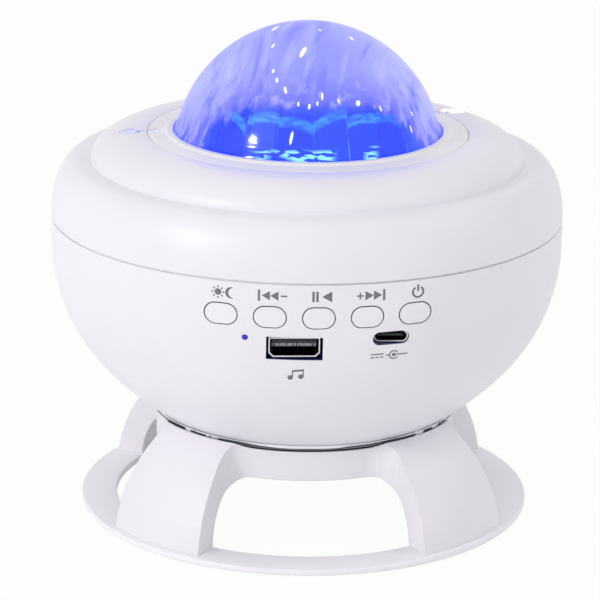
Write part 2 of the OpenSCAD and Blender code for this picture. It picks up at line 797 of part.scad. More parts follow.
module projection_dome() {
    color("mediumslateblue", 0.7) difference() {
        union() {
            intersection() {
                translate([0, 0, dome_z]) sphere(r = dome_r);
                translate([0, 0, foot_z]) cylinder(r = dome_r, h = dome_r);
            }
            translate([0, 0, deck_z + 0.4]) cylinder(r1 = foot_r, r2 = foot_top_r, h = foot_h - 0.4);
            translate([0, 0, flange_z]) cylinder(r = foot_r, h = deck_z + 0.4 - flange_z);
            translate([0, 0, flange_z]) cylinder(r = bezel_r - 0.1, h = flange_t);
        }
        intersection() {
            translate([0, 0, dome_z]) sphere(r = dome_in_r);
            translate([0, 0, flange_z - over]) cylinder(r = dome_r, h = 2 * dome_r);
        }
    }
}

module star_window(turn) {
    color("lightcyan", 0.6) rotate([0, 0, turn]) translate([star_r, 0, deck_z - window_sink - window_t])
        cylinder(r = star_win_r, h = window_t);
}

module star_window_left() {
    star_window(left_turn);
}

module star_window_right() {
    star_window(right_turn);
}

module glow_windows() {
    color("lightcyan", 0.6) for (a = [left_turn, right_turn]) rotate([0, 0, a])
        translate([glow_r, 0, flange_top]) cylinder(r = glow_win_r, h = bezel_t - window_sink / 2);
}

module shell_screws() {
    color("silver") at_quarters(post_ring_r) translate([0, 0, shell_head_z])
        pan_screw(shell_screw_r, shell_screw_len);
}

// ---------------------------------------------------------------- lamp and drive

// tapered many-sided solid
module panes(r1, r2, z0, z1) {
    translate([0, 0, z0]) linear_extrude(height = z1 - z0, scale = r2 / r1) polygon([
        for (i = [0:cup_panes - 1]) r1 * [cos(360 * i / cup_panes), sin(360 * i / cup_panes)]
    ]);
}

module wave_cup() {
    low = gear_top + 2;
    thin = cup_wall;
    color("lightskyblue", 0.5) difference() {
        union() {
            translate([0, 0, gear_z]) gear(cup_teeth, 0);
            translate([0, 0, plate_top + 0.3]) cylinder(r = spigot_r + 2, h = gear_z - plate_top);
            translate([0, 0, gear_top - eps]) cylinder(r = cup_low_r, h = low - gear_top + eps);
            panes(cup_low_r, belly_r, low - eps, belly_z);
            panes(belly_r, pane_r, belly_z - eps, pane_z);
            intersection() {
                translate([0, 0, pane_z + cup_cap_h - cap_r]) sphere(r = cap_r);
                translate([0, 0, pane_z - eps]) cylinder(r = pane_r, h = 2 * cup_cap_h);
            }
        }
        translate([0, 0, plate_top]) cylinder(r = spigot_r + spin_gap, h = low - plate_top);
        translate([0, 0, low - eps]) cylinder(r1 = spigot_r + spin_gap, r2 = belly_r - thin - 0.5,
                                              h = belly_z - low + eps);
        translate([0, 0, belly_z - eps])
            cylinder(r1 = belly_r - thin - 0.5, r2 = pane_r - thin - 0.5, h = pane_z - belly_z + eps);
        intersection() {
            translate([0, 0, pane_z + cup_cap_h - cap_r]) sphere(r = cap_r - thin);
            translate([0, 0, pane_z - eps]) cylinder(r = pane_r - thin - 0.5, h = 2 * cup_cap_h);
        }
    }
}

module lamp_chassis() {
    color("gainsboro") difference() {
        union() {
            translate([0, 0, chassis_z]) cylinder(r = chassis_r, h = chassis_t);
            tube(spigot_r, spigot_in_r, plate_top - eps, plate_top + spigot_h);
            tube(spigot_in_r + eps, spigot_in_r - 1.5, lens_seat_z - 1.5, lens_seat_z);
            at_quarters(post_ring_r) translate([0, 0, post_top]) cylinder(r = 3.6, h = chassis_z - post_top);
            for (a = [left_turn, right_turn]) rotate([0, 0, a]) {
                translate([grating_axis, 0, plate_top - eps]) cylinder(r = 3, h = gear_lift - 0.2);
                translate([grating_axis, 0, plate_top - eps])
                    cylinder(r = pin_r, h = gear_lift + gear_w + 0.8);
                translate([star_r, 0, chassis_z - 4]) cylinder(r = laser_r + 1.6, h = 4 + chassis_t);
            }
        }
        translate([0, 0, chassis_z - 1]) cylinder(r = sink_r + 0.3, h = chassis_t + 2);
        at_quarters(chassis_ring_r) translate([0, 0, chassis_z - 1])
            cylinder(r = small_screw_r + 0.2, h = chassis_t + 2);
        at_quarters(post_ring_r) translate([0, 0, post_top - 1])
            cylinder(r = shell_screw_r + screw_gap, h = shell_screw_len - 8);
        translate([motor_x, 0, chassis_z - 1]) cylinder(r = 3, h = chassis_t + 2);
        for (a = [left_turn, right_turn]) rotate([0, 0, a])
            translate([star_r, 0, chassis_z - over]) cylinder(r = laser_r + 0.03, h = 3 * over);
    }
}

module chassis_screws() {
    color("silver") at_quarters(chassis_ring_r) translate([0, 0, chassis_z])
        pan_screw(small_screw_r, chassis_t + small_screw_len - 0.5, 2.1, 1.5);
}

module condenser_lens() {
    r = spigot_in_r - 0.1;
    ball_r = (r * r * 0.81 + lens_bulge * lens_bulge) / (2 * lens_bulge);
    color("aliceblue", 0.4) translate([0, 0, lens_seat_z]) {
        cylinder(r = r, h = lens_rim_t);
        intersection() {
            translate([0, 0, lens_rim_t + lens_bulge - ball_r]) sphere(r = ball_r);
            translate([0, 0, lens_rim_t - eps]) cylinder(r = r, h = lens_bulge + 1);
        }
    }
}

module lamp_board() {
    color("white") difference() {
        translate([0, 0, lamp_board_z]) cylinder(r = lamp_board_r, h = led_board_t);
        for (a = [45, 225]) rotate([0, 0, a]) translate([lamp_board_r - 3, 0, lamp_board_z - 1])
            cylinder(r = 1.2, h = led_board_t + 2);
    }
}

module lamp_chips() {
    color("khaki") at_quarters(chip_ring_r, 0) translate([0, 0, lamp_board_z + led_board_t]) {
        translate([-chip_w / 2, -chip_w / 2, 0]) cube([chip_w, chip_w, chip_h * 0.6]);
        cylinder(r = chip_w * 0.4, h = chip_h);
    }
}

module heat_sink() {
    low = plate_top - sink_depth;
    pitch = 2 * sink_r / fin_count;
    color("silver") difference() {
        union() {
            translate([0, 0, plate_top]) cylinder(r = sink_flange_r, h = sink_flange_t);
            translate([0, 0, plate_top - sink_core]) cylinder(r = sink_r, h = sink_core + eps);
            intersection() {
                translate([0, 0, low]) cylinder(r = sink_r, h = sink_depth);
                for (i = [0:fin_count - 1])
                    translate([(i - (fin_count - 1) / 2) * pitch - fin_t / 2, -sink_r, low])
                        cube([fin_t, 2 * sink_r, sink_depth]);
            }
        }
        translate([lamp_slot_x, -sink_r - 1, low - 1]) cube([3, 7, sink_depth + 4]);
    }
}

module gear_motor() {
    gearbox = 6;
    color("lightgray") translate([motor_x, 0, 0]) difference() {
        union() {
            translate([0, 0, chassis_z - gearbox]) cylinder(r = motor_r, h = gearbox);
            translate([0, 0, chassis_z - motor_len]) cylinder(r = motor_r - 1, h = motor_len - gearbox + eps);
            translate([0, 0, chassis_z - eps]) cylinder(r = 2.8, h = chassis_t);
        }
        translate([0, 0, shaft_z - 0.3]) cylinder(r = shaft_r + spin_gap, h = 2 * over);
    }
}

module motor_pinion() {
    color("ivory") translate([motor_x, 0, 0]) {
        translate([0, 0, gear_z]) gear(pinion_teeth, mesh_turn(0, pinion_teeth));
        translate([0, 0, gear_z - 1.5]) cylinder(r = 3, h = 1.5 + eps);
        translate([0, 0, shaft_z]) cylinder(r = shaft_r, h = gear_top + 1 - shaft_z);
    }
}

module laser(turn) {
    color("goldenrod") rotate([0, 0, turn]) translate([star_r, 0, laser_top - laser_len]) difference() {
        cylinder(r = laser_r, h = laser_len);
        translate([0, 0, laser_len - 1.5]) cylinder(r = beam_r, h = 3);
    }
}

module laser_left() {
    laser(left_turn);
}

module laser_right() {
    laser(right_turn);
}

module grating_disc(turn) {
    centre = grating_axis * [cos(turn), sin(turn)];
    color("paleturquoise", 0.6) translate([centre[0], centre[1], gear_z])
        difference() {
            union() {
                gear(grating_teeth, mesh_turn(turn, grating_teeth));
                translate([0, 0, gear_w - eps]) cylinder(r = 2.6, h = 0.5);
            }
            translate([0, 0, -over]) cylinder(r = pin_r + spin_gap, h = 3 * over);
        }
}

module grating_disc_left() {
    grating_disc(left_turn);
}

module grating_disc_right() {
    grating_disc(right_turn);
}

// ---------------------------------------------------------------- front panel

// button number i, counted from -2 at the left to 2 at the right
module button(i) {
    x = i * button_pitch;
    back = in_r - 0.3;
    color("white") {
        intersection() {
            pill(button_w, button_h, x, button_z, -body_r - over, -button_board_y - switch_t);
            rotate_extrude() difference() {
                bowl_section(-button_proud, seam_z);
                bowl_section(body_r - back + button_flange_t / 2, seam_z + over);
            }
        }
        intersection() {
            pill(button_w + 2 * button_flange, button_h + 2 * button_flange, x, button_z, -body_r,
                 -button_board_y - 2);
            rotate_extrude() difference() {
                bowl_section(body_r - back, seam_z);
                bowl_section(body_r - back + button_flange_t, seam_z + over);
            }
        }
        rod_y(stem_r, x, button_z, face_y(abs(x), button_z, body_r - back + 0.1), stem_end);
    }
}

// switch plunger: its rear end runs in the bore of the switch body
module plunger(i) {
    color("dimgray") rod_y(plunger_r, i * button_pitch, button_z, plunger_tip, plunger_rear);
}

module lamp_button() { button(-2); }
module previous_button() { button(-1); }
module pause_button() { button(0); }
module next_button() { button(1); }
module power_button() { button(2); }

module lamp_plunger() { plunger(-2); }
module previous_plunger() { plunger(-1); }
module pause_plunger() { plunger(0); }
module next_plunger() { plunger(1); }
module power_plunger() { plunger(2); }

module button_board() {
    y = -button_board_y;
    color("navy") {
        translate([-button_board_half, y, button_board_low])
            cube([2 * button_board_half, board_t, button_board_high - button_board_low]);
        for (x = [-button_board_half, button_board_half - leg_tab_w])
            translate([x, y, board_top]) cube([leg_tab_w, board_t, button_board_low - board_top + eps]);
        translate([indicator_x - indicator_tab / 2, y, indicator_z - indicator_tab / 2])
            cube([indicator_tab, board_t, button_board_low - indicator_z + indicator_tab / 2 + eps]);
    }
}

module switch_bodies() {
    color("black") button_places() difference() {
        translate([-switch_w / 2, -button_board_y - switch_t, button_z - switch_w / 2])
            cube([switch_w, switch_t, switch_w]);
        rod_y(plunger_r + spin_gap, 0, button_z, -button_board_y - switch_t - 1,
              plunger_rear + button_travel + 0.3);
    }
}

module indicator_chip() {
    color("lightyellow") translate([indicator_x - 0.8, -button_board_y - 0.6, indicator_z - 0.4])
        cube([1.6, 0.6, 0.8]);
}

module light_pipe() {
    front = face_y(indicator_x, indicator_z) + 0.4;
    color("cornflowerblue", 0.7) {
        rod_y(pipe_r, indicator_x, indicator_z, front, -button_board_y - 0.7);
        rod_y(pipe_r + 0.6, indicator_x, indicator_z, face_y(abs(indicator_x) + 2, indicator_z, wall) + 0.5,
              -button_board_y - 2);
    }
}

// ---------------------------------------------------------------- boards and sockets

module main_board() {
    color("navy") difference() {
        translate([0, 0, board_z]) intersection() {
            cylinder(r = board_r, h = board_t);
            translate([-board_half_w, -board_r, -1])
                cube([2 * board_half_w, board_r - board_back_y, board_t + 2]);
        }
        for (x = [-standoff_x, standoff_x], y = standoff_ys)
            translate([x, y, board_z - 1]) cylinder(r = small_screw_r + 0.2, h = board_t + 2);
    }
}

module board_chips() {
    color("black") {
        for (c = chips) translate([c[0], -board_back_y - c[1], board_top]) cube([c[2], c[3], c[4]]);
        for (x = can_xs) translate([x, can_y, board_top]) cylinder(r = can_r, h = can_h);
    }
}

module board_screws() {
    color("silver") for (x = [-standoff_x, standoff_x], y = standoff_ys)
        translate([x, y, board_top]) rotate([180, 0, 0])
            pan_screw(small_screw_r, board_t + small_screw_len - 0.5, 2.1, 1.5);
}

module usb_shell() {
    chamfer = 1.1;
    half = usb_w / 2;
    low = -usb_h / 2;
    t = socket_steel;
    color("silver") translate([usb_x, usb_front + usb_len, usb_z]) rotate([90, 0, 0]) difference() {
        linear_extrude(usb_len) polygon([
            [-half, usb_h / 2], [half, usb_h / 2], [half, low + chamfer], [half - chamfer, low],
            [-half + chamfer, low], [-half, low + chamfer]
        ]);
        translate([0, 0, 1]) linear_extrude(usb_len) polygon([
            [-half + t, usb_h / 2 - t], [half - t, usb_h / 2 - t], [half - t, low + chamfer + t / 2],
            [half - chamfer - t / 2, low + t], [-half + chamfer + t / 2, low + t],
            [-half + t, low + chamfer + t / 2]
        ]);
    }
}

module usb_tongue() {
    w = usb_w - 2 * socket_steel - 1;
    top = usb_z + usb_h / 2 - socket_steel - 0.5;
    color("black") translate([usb_x - w / 2, usb_front + 1, top - 1.9]) cube([w, usb_len - 2, 1.9]);
}

module charge_board() {
    color("navy") translate([typec_x - charge_w / 2, typec_front + charge_inset, charge_top - charge_t])
        cube([charge_w, -charge_back - typec_front - charge_inset, charge_t]);
}

module header_strip() {
    color("black") translate([typec_x - charge_w / 2 + 1, -charge_back - 3, board_top])
        cube([charge_w - 2, 2.5, charge_top - charge_t - board_top]);
}

module typec_shell() {
    color("silver") difference() {
        pill(typec_w, typec_h, typec_x, typec_z, typec_front, typec_front + typec_len);
        pill(typec_w - 2 * socket_steel, typec_h - 2 * socket_steel, typec_x, typec_z,
             typec_front - 1, typec_front + typec_len - 1);
    }
}

module typec_tongue() {
    color("black") translate([typec_x - 3.2, typec_front + 0.8, typec_z - 0.35])
        cube([6.4, typec_len - 1.8, 0.7]);
}

// ---------------------------------------------------------------- speaker and leads

module speaker_frame() {
    half = speaker_pitch / 2;
    top = speaker_z + speaker_plate;
    color("dimgray") difference() {
        union() {
            translate([-speaker_w / 2, -speaker_w / 2, speaker_z])
                cube([speaker_w, speaker_w, speaker_plate]);
            translate([0, 0, top - eps]) cylinder(r1 = cone_r + 1.5, r2 = basket_top_r, h = basket_h);
        }
        translate([0, 0, speaker_z - 1]) cylinder(r = cone_r, h = speaker_plate + 1 + eps);
        translate([0, 0, top]) cylinder(r1 = cone_r, r2 = basket_top_r - 1.5, h = basket_h - 1.2);
        translate([0, 0, top]) cylinder(r = cone_neck_r + 1.5, h = basket_h + 1);
        for (x = [-half, half], y = [-half, half])
            translate([x, y, speaker_z - 1]) cylinder(r = small_screw_r + 0.2, h = speaker_plate + 2);
        for (i = [0:3]) rotate([0, 0, 90 * i]) translate([8, -3, top + 2]) cube([10, 6, basket_h - 5]);
    }
}

module speaker_cone() {
    depth = basket_h - 2;
    color("black") rotate_extrude() polygon([
        [cone_r - 0.1, speaker_z + 0.2], [cone_r - 0.1, speaker_z + 0.8],
        [cone_r - 1.8, speaker_z + 0.8], [cone_neck_r, speaker_z + depth],
        [0, speaker_z + depth - 1.2], [0, speaker_z + depth - 1.2 - cone_t],
        [cone_neck_r, speaker_z + depth - 1.2], [cone_r - 2, speaker_z + 0.2]
    ]);
}

module speaker_magnet() {
    color("gray") translate([0, 0, speaker_z + speaker_plate + basket_h]) {
        cylinder(r = magnet_r, h = magnet_h - 1);
        translate([0, 0, magnet_h - 1 - eps]) cylinder(r1 = magnet_r - 0.5, r2 = magnet_r - 1.5, h = 1);
    }
}

module speaker_screws() {
    half = speaker_pitch / 2;
    color("silver") for (x = [-half, half], y = [-half, half])
        translate([x, y, speaker_z + speaker_plate]) rotate([180, 0, 0])
            pan_screw(small_screw_r, speaker_plate + 2.4, 2.1, 1.5);
}

module speaker_lead() {
    color("firebrick") lead([-5, -18], [-12, -33], speaker_z + speaker_plate, speaker_z + 12, board_z);
}

module motor_lead() {
    color("goldenrod") lead([29, -33], [motor_x, -4], board_top, board_top + 3, chassis_z - motor_len);
}

module lamp_lead() {
    x = lamp_slot_x + 1.5;
    color("royalblue") lead([x, lead_y], [x, lead_y + 18], board_top, board_top + 5, lamp_board_z);
}

base_ring();
foot_pads();
stand_frame();
stand_screws();
seat_ring();
lower_shell();
upper_shell();
dome_bezel();
projection_dome();
star_window_left();
star_window_right();
glow_windows();
shell_screws();
wave_cup();
lamp_chassis();
chassis_screws();
condenser_lens();
lamp_board();
lamp_chips();
heat_sink();
gear_motor();
motor_pinion();
laser_left();
laser_right();
grating_disc_left();
grating_disc_right();
lamp_button();
previous_button();
pause_button();
next_button();
power_button();
lamp_plunger();
previous_plunger();
pause_plunger();
next_plunger();
power_plunger();
button_board();
switch_bodies();
indicator_chip();
light_pipe();
main_board();
board_chips();
board_screws();
usb_shell();
usb_tongue();
charge_board();
header_strip();
typec_shell();
typec_tongue();
speaker_frame();
speaker_cone();
speaker_magnet();
speaker_screws();
speaker_lead();
motor_lead();
lamp_lead();
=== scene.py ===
import math

import bmesh
import bpy
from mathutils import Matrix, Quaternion, Vector


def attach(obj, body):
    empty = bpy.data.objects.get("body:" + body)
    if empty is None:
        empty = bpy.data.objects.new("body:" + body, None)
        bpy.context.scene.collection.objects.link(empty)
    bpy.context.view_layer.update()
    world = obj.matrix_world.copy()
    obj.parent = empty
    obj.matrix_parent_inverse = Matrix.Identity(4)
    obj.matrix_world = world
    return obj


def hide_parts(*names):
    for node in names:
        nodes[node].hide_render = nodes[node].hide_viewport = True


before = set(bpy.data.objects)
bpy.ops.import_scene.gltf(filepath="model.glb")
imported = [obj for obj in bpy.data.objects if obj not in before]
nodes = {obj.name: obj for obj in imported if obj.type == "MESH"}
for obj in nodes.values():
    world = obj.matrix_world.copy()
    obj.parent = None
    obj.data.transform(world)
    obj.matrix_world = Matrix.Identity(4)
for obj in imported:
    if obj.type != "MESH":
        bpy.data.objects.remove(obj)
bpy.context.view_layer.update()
mm = 0.001


# working with operators

def clearAll():
    if bpy.context.mode != "OBJECT":
        bpy.ops.object.mode_set(mode="OBJECT")
    bpy.ops.object.select_all(action="DESELECT")


def hold(piece):
    clearAll()
    piece.select_set(True)
    bpy.context.view_layer.objects.active = piece


def edit(piece):
    hold(piece)
    bpy.ops.object.mode_set(mode="EDIT")


def named(name):
    piece = bpy.context.view_layer.objects.active
    piece.name = name
    piece.data.name = name
    bpy.ops.object.transform_apply(location=True, rotation=True, scale=True)
    return piece


def modified(piece, kind, **settings):
    hold(piece)
    modifier = piece.modifiers.new(kind, kind)
    for key, value in settings.items():
        setattr(modifier, key, value)
    bpy.ops.object.modifier_apply(modifier=modifier.name)
    return piece


def pick(piece, test):
    bpy.ops.mesh.select_all(action="DESELECT")
    mesh = bmesh.from_edit_mesh(piece.data)
    for vertex in mesh.verts:
        vertex.select = test(vertex.co)
    mesh.select_flush_mode()
    bmesh.update_edit_mesh(piece.data)


def smoothed(piece, angle=32):
    hold(piece)
    bpy.ops.object.shade_smooth_by_angle(angle=math.radians(angle))
    return piece


def joined(name, pieces):
    clearAll()
    for piece in pieces:
        piece.select_set(True)
    bpy.context.view_layer.objects.active = pieces[0]
    bpy.ops.object.join()
    return named(name)


def path(name, points, closed=True):
    clearAll()
    bpy.ops.mesh.primitive_plane_add(size=mm)
    piece = named(name)
    bpy.ops.object.mode_set(mode="EDIT")
    bpy.ops.mesh.select_all(action="SELECT")
    bpy.ops.mesh.merge(type="CENTER")
    bpy.ops.transform.translate(value=Vector(points[0]) * mm)
    for start, end in zip(points, points[1:] + (points[:1] if closed else [])):
        step = (Vector(end) - Vector(start)) * mm
        bpy.ops.mesh.extrude_vertices_move(TRANSFORM_OT_translate={"value": step})
    bpy.ops.mesh.select_all(action="SELECT")
    bpy.ops.mesh.remove_doubles(threshold=1e-7)
    return piece


def spun(name, loop, segments=256, closed=True):
    piece = path(name, [(r, 0, z) for r, z in loop], closed)
    bpy.ops.mesh.select_all(action="SELECT")
    bpy.ops.mesh.spin(steps=segments, angle=math.tau, center=(0, 0, 0), axis=(0, 0, 1))
    bpy.ops.mesh.select_all(action="SELECT")
    bpy.ops.mesh.remove_doubles(threshold=2e-6)
    bpy.ops.mesh.normals_make_consistent(inside=False)
    return smoothed(piece)


# a corner that bends more is rounded, off the axis, over up to this share of each edge

corner = {"bend": 25, "share": 0.45, "axisR": 0.01}


def softened(loop, amount, steps=3):
    result = []
    for before, here, after in zip(loop[-1:] + loop[:-1], loop, loop[1:] + loop[:1]):
        point = Vector(here)
        back, on = Vector(before) - point, Vector(after) - point
        flat = math.pi - back.angle(on) < math.radians(corner["bend"])
        if flat or point.x < corner["axisR"]:
            result.append(here)
            continue
        cut = min(amount, back.length * corner["share"], on.length * corner["share"])
        start, end = point + back.normalized() * cut, point + on.normalized() * cut
        for k in range(steps + 1):
            t = k / steps
            result.append(tuple(start * (1 - t) ** 2 + point * (2 * t * (1 - t)) + end * t * t))
    return result


def arc(cx, cz, a, b, start, end, steps):
    angles = [math.radians(start + (end - start) * k / steps) for k in range(steps + 1)]
    return [(cx + a * math.cos(t), cz + b * math.sin(t)) for t in angles]


def rodCutter(name, r, place, depth, along="z", vertices=64):
    clearAll()
    turn = {"z": (0, 0, 0), "y": (math.pi / 2, math.pi / vertices, 0)}[along]
    bpy.ops.mesh.primitive_cylinder_add(vertices=vertices, radius=r * mm, depth=depth * mm,
                                        location=Vector(place) * mm, rotation=turn)
    return named(name)


def pillCutter(name, wide, high, place, depth):
    piece = rodCutter(name, high / 2, place, depth, "y")
    edit(piece)
    for side in (-1, 1):
        pick(piece, lambda co: (co.x - place[0] * mm) * side > 1e-6)
        bpy.ops.transform.translate(value=(side * (wide - high) / 2 * mm, 0, 0))
    clearAll()
    return piece


def boxCutter(name, size, place):
    clearAll()
    bpy.ops.mesh.primitive_cube_add(size=1, location=Vector(place) * mm, scale=Vector(size) * mm)
    return named(name)


def cutBy(piece, cutters):
    cutter = joined("cutter", cutters)
    modified(piece, "BOOLEAN", object=cutter, operation="DIFFERENCE", solver="EXACT")
    hold(cutter)
    bpy.ops.object.delete()
    return smoothed(piece)


def turnedCopies(piece, count):
    copies = [piece]
    for k in range(1, count):
        hold(piece)
        bpy.ops.object.duplicate(linked=False)
        copies.append(bpy.context.view_layer.objects.active)
        bpy.ops.transform.rotate(value=-math.tau * k / count, orient_axis="Z",
                                 center_override=(0, 0, 0))
    return copies


def finished(piece, body, slot, material, *replaced):
    piece.data.materials.clear()
    piece.data.materials.append(material)
    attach(piece, body)
    if replaced:
        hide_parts(*replaced)
    return piece


# working with shader nodes

def colour(red, green, blue):
    parts = [part / 255 for part in (red, green, blue)]
    return tuple(p / 12.92 if p < 0.04045 else ((p + 0.055) / 1.055) ** 2.4 for p in parts) + (1,)


def started(name):
    material = bpy.data.materials.new(name)
    material.use_nodes = True
    material.node_tree.nodes.clear()
    return material, material.node_tree


def node(tree, kind, inputs=None, **settings):
    made = tree.nodes.new("ShaderNode" + kind)
    for key, value in settings.items():
        setattr(made, key, value)
    for key, value in (inputs or {}).items():
        if isinstance(value, bpy.types.NodeSocket):
            tree.links.new(value, made.inputs[key])
        else:
            made.inputs[key].default_value = value
    return made


def axes(tree, kind="Object"):
    return node(tree, "SeparateXYZ", {0: node(tree, "TexCoord").outputs[kind]}).outputs


def maths(tree, operation, *values):
    return node(tree, "Math", dict(enumerate(values)), operation=operation).outputs[0]


def times(tree, first, second):
    return maths(tree, "MULTIPLY", first, second)


def minus(tree, first, second):
    return maths(tree, "SUBTRACT", first, second)


def ranged(tree, value, low, high, toLow=0.0, toHigh=1.0, kind="LINEAR"):
    inputs = {"Value": value, "From Min": low, "From Max": high, "To Min": toLow, "To Max": toHigh}
    return node(tree, "MapRange", inputs, interpolation_type=kind).outputs["Result"]


def eased(tree, value, low, high, toLow=0.0, toHigh=1.0):
    return ranged(tree, value, low, high, toLow, toHigh, "SMOOTHSTEP")


def noise(tree, scale, detail=3, roughness=0.5, stretch=(1, 1, 1), turn=(0, 0, 0), distortion=0.0):
    place = node(tree, "TexCoord").outputs["Object"]
    mapped = node(tree, "Mapping", {"Vector": place, "Scale": stretch, "Rotation": turn})
    return node(tree, "TexNoise", {"Vector": mapped.outputs[0], "Scale": scale, "Detail": detail,
                                   "Roughness": roughness, "Distortion": distortion}).outputs["Fac"]


def strands(tree, scale, lean, long, centre, radius):
    parts = axes(tree)
    front = times(tree, parts["Y"], -1.0)
    rise = times(tree, maths(tree, "ARCTAN2", minus(tree, parts["Z"], centre), front), radius)
    spread = node(tree, "CombineXYZ", {0: parts["X"], 1: rise}).outputs[0]
    mapped = node(tree, "Mapping", {"Vector": spread, "Rotation": (0, 0, -lean),
                                    "Scale": (1, long, 1)}, vector_type="TEXTURE")
    return node(tree, "TexNoise", {"Vector": mapped.outputs[0], "Scale": scale, "Detail": 2,
                                   "Distortion": 0.3}).outputs["Fac"]


def gleam(tree, most):
    grazing = node(tree, "LayerWeight", {"Blend": 0.5}).outputs["Facing"]
    return ranged(tree, maths(tree, "POWER", grazing, 5.0), 0.0, 1.0, 0.04, most)


def blended(tree, factor, first, second):
    return node(tree, "Mix", {0: factor, 6: first, 7: second}, data_type="RGBA").outputs[2]


def layered(tree, tone, tones, layers):
    for factor, key in layers:
        tone = blended(tree, factor, tone, colour(*tones[key]))
    return tone


def bumped(tree, height, strength, depth, edge=None):
    inputs = {"Height": height, "Strength": strength, "Distance": depth * mm}
    if edge is not None:
        inputs["Normal"] = edge
    return node(tree, "Bump", inputs).outputs[0]


def shader(tree, kind, inputs):
    return node(tree, kind, inputs).outputs[0]


def principled(tree, tone, rough, more):
    return shader(tree, "BsdfPrincipled", {"Base Color": tone, "Roughness": rough, **more})


def glowing(tree, tone, rough, glow, more):
    more = {"Emission Color": tone, "Emission Strength": glow, **more}
    return principled(tree, tone, rough, more)


def mixed(tree, share, first, second):
    return shader(tree, "MixShader", {0: share, 1: first, 2: second})


def closed(tree, surface):
    node(tree, "OutputMaterial", {"Surface": surface})


# what all pieces of a kind share; a bump's depth is in mm, and four numbers are a range and
# what it becomes

mould = {"clouds": (22, 4), "gloss": (180, 5, 0.6), "range": (0.3, 0.7), "depth": 0.1,
         "samples": 6, "ior": 1.49}
steel = {"lines": (320, 5, 0.6), "lineRange": (0.35, 0.65), "gloss": (140, 4), "range": (0.3, 0.7),
         "bump": 0.12, "depth": 0.05, "bevel": 0.12, "samples": 4}
glassy = {"ripple": 0.1, "depth": 0.4, "range": (0.3, 0.7), "thin": 0.75, "thick": 1.2,
          "rough": 0.35, "gleam": 0.95, "distortion": 0.6}


# marksAndShade, when given, changes the tone: painted shade on some pieces, the contacts on a
# tongue on others
def moulded(name, light, dark, rough, grain=2600, bump=0.05, bevel=0.25, marksAndShade=None):
    material, tree = started(name)
    clouds = ranged(tree, noise(tree, *mould["clouds"]), *mould["range"])
    tone = blended(tree, clouds, colour(*dark), colour(*light))
    if marksAndShade:
        tone = marksAndShade(tree, tone)
    gloss = ranged(tree, noise(tree, *mould["gloss"]), *mould["range"], *rough)
    edge = node(tree, "Bevel", {"Radius": bevel * mm}, samples=mould["samples"]).outputs[0]
    skin = bumped(tree, noise(tree, grain, 2), bump, mould["depth"], edge)
    closed(tree, principled(tree, tone, gloss, {"Normal": skin, "IOR": mould["ior"]}))
    return material


def metal(name, light, dark, rough=(0.22, 0.4), stretch=(1, 12, 12), marksAndShade=None):
    material, tree = started(name)
    lines = noise(tree, *steel["lines"], stretch)
    tone = blended(tree, ranged(tree, lines, *steel["lineRange"]), colour(*dark), colour(*light))
    if marksAndShade:
        tone = marksAndShade(tree, tone)
    gloss = ranged(tree, noise(tree, *steel["gloss"]), *steel["range"], *rough)
    edge = node(tree, "Bevel", {"Radius": steel["bevel"] * mm}, samples=steel["samples"]).outputs[0]
    skin = bumped(tree, lines, steel["bump"], steel["depth"], edge)
    closed(tree, principled(tree, tone, gloss, {"Metallic": 1.0, "Normal": skin}))
    return material


def clearPlastic(name, tint, body, cover, glow=0.0, rough=0.08, scale=90):
    material, tree = started(name)
    waves = noise(tree, scale, 2, 0.4, distortion=glassy["distortion"])
    skin = bumped(tree, waves, glassy["ripple"], glassy["depth"])
    through = shader(tree, "BsdfTransparent", {"Color": colour(*tint)})
    solid = glowing(tree, colour(*body), glassy["rough"], glow, {"Normal": skin})
    share = ranged(tree, waves, *glassy["range"], cover * glassy["thin"],
                   min(1.0, cover * glassy["thick"]))
    inside = mixed(tree, share, through, solid)
    shine = shader(tree, "BsdfGlossy", {"Roughness": rough, "Normal": skin})
    closed(tree, mixed(tree, gleam(tree, glassy["gleam"]), inside, shine))
    return material


# darker places, in metres: painted shade on the sides of a button and deep in a socket's
# shell, and the contacts on a tongue

wall = {"normalY": (-0.75, -0.45), "tone": (84, 84, 98)}
mouth = {"sockets": (0.005, 0.01), "fronts": (-0.06647, -0.06412), "depth": (0.0002, 0.0007),
         "tone": (66, 62, 74)}
contacts = {"height": 0.0653, "half": (0.0003, 0.0004, 1.0, 0.0), "gaps": (0.42, 0.5),
            "grain": (1500, 2, 0.5, (1, 1, 0.4)), "tone": (150, 148, 156)}


# painted shade on the side walls of a button, in the gap around it
def paintedWallShade(tree, tone):
    side = ranged(tree, axes(tree, "Normal")["Y"], *wall["normalY"])
    return blended(tree, side, tone, colour(*wall["tone"]))


# painted shade deep inside a socket's shell
def paintedDepthShade(tree, tone):
    parts = axes(tree)
    front = ranged(tree, parts["X"], *mouth["sockets"], *mouth["fronts"])
    deep = ranged(tree, minus(tree, parts["Y"], front), *mouth["depth"])
    return blended(tree, deep, tone, colour(*mouth["tone"]))


def tongueStain(tree, tone):
    away = maths(tree, "ABSOLUTE", minus(tree, axes(tree)["Z"], contacts["height"]))
    gaps = ranged(tree, noise(tree, *contacts["grain"]), *contacts["gaps"])
    stripe = times(tree, ranged(tree, away, *contacts["half"]), gaps)
    return blended(tree, stripe, tone, colour(*contacts["tone"]))


# plastics: light tone, dark tone, roughness; metals: light tone, dark tone; clear plastics:
# tint, body, cover; and what else is special about some of them

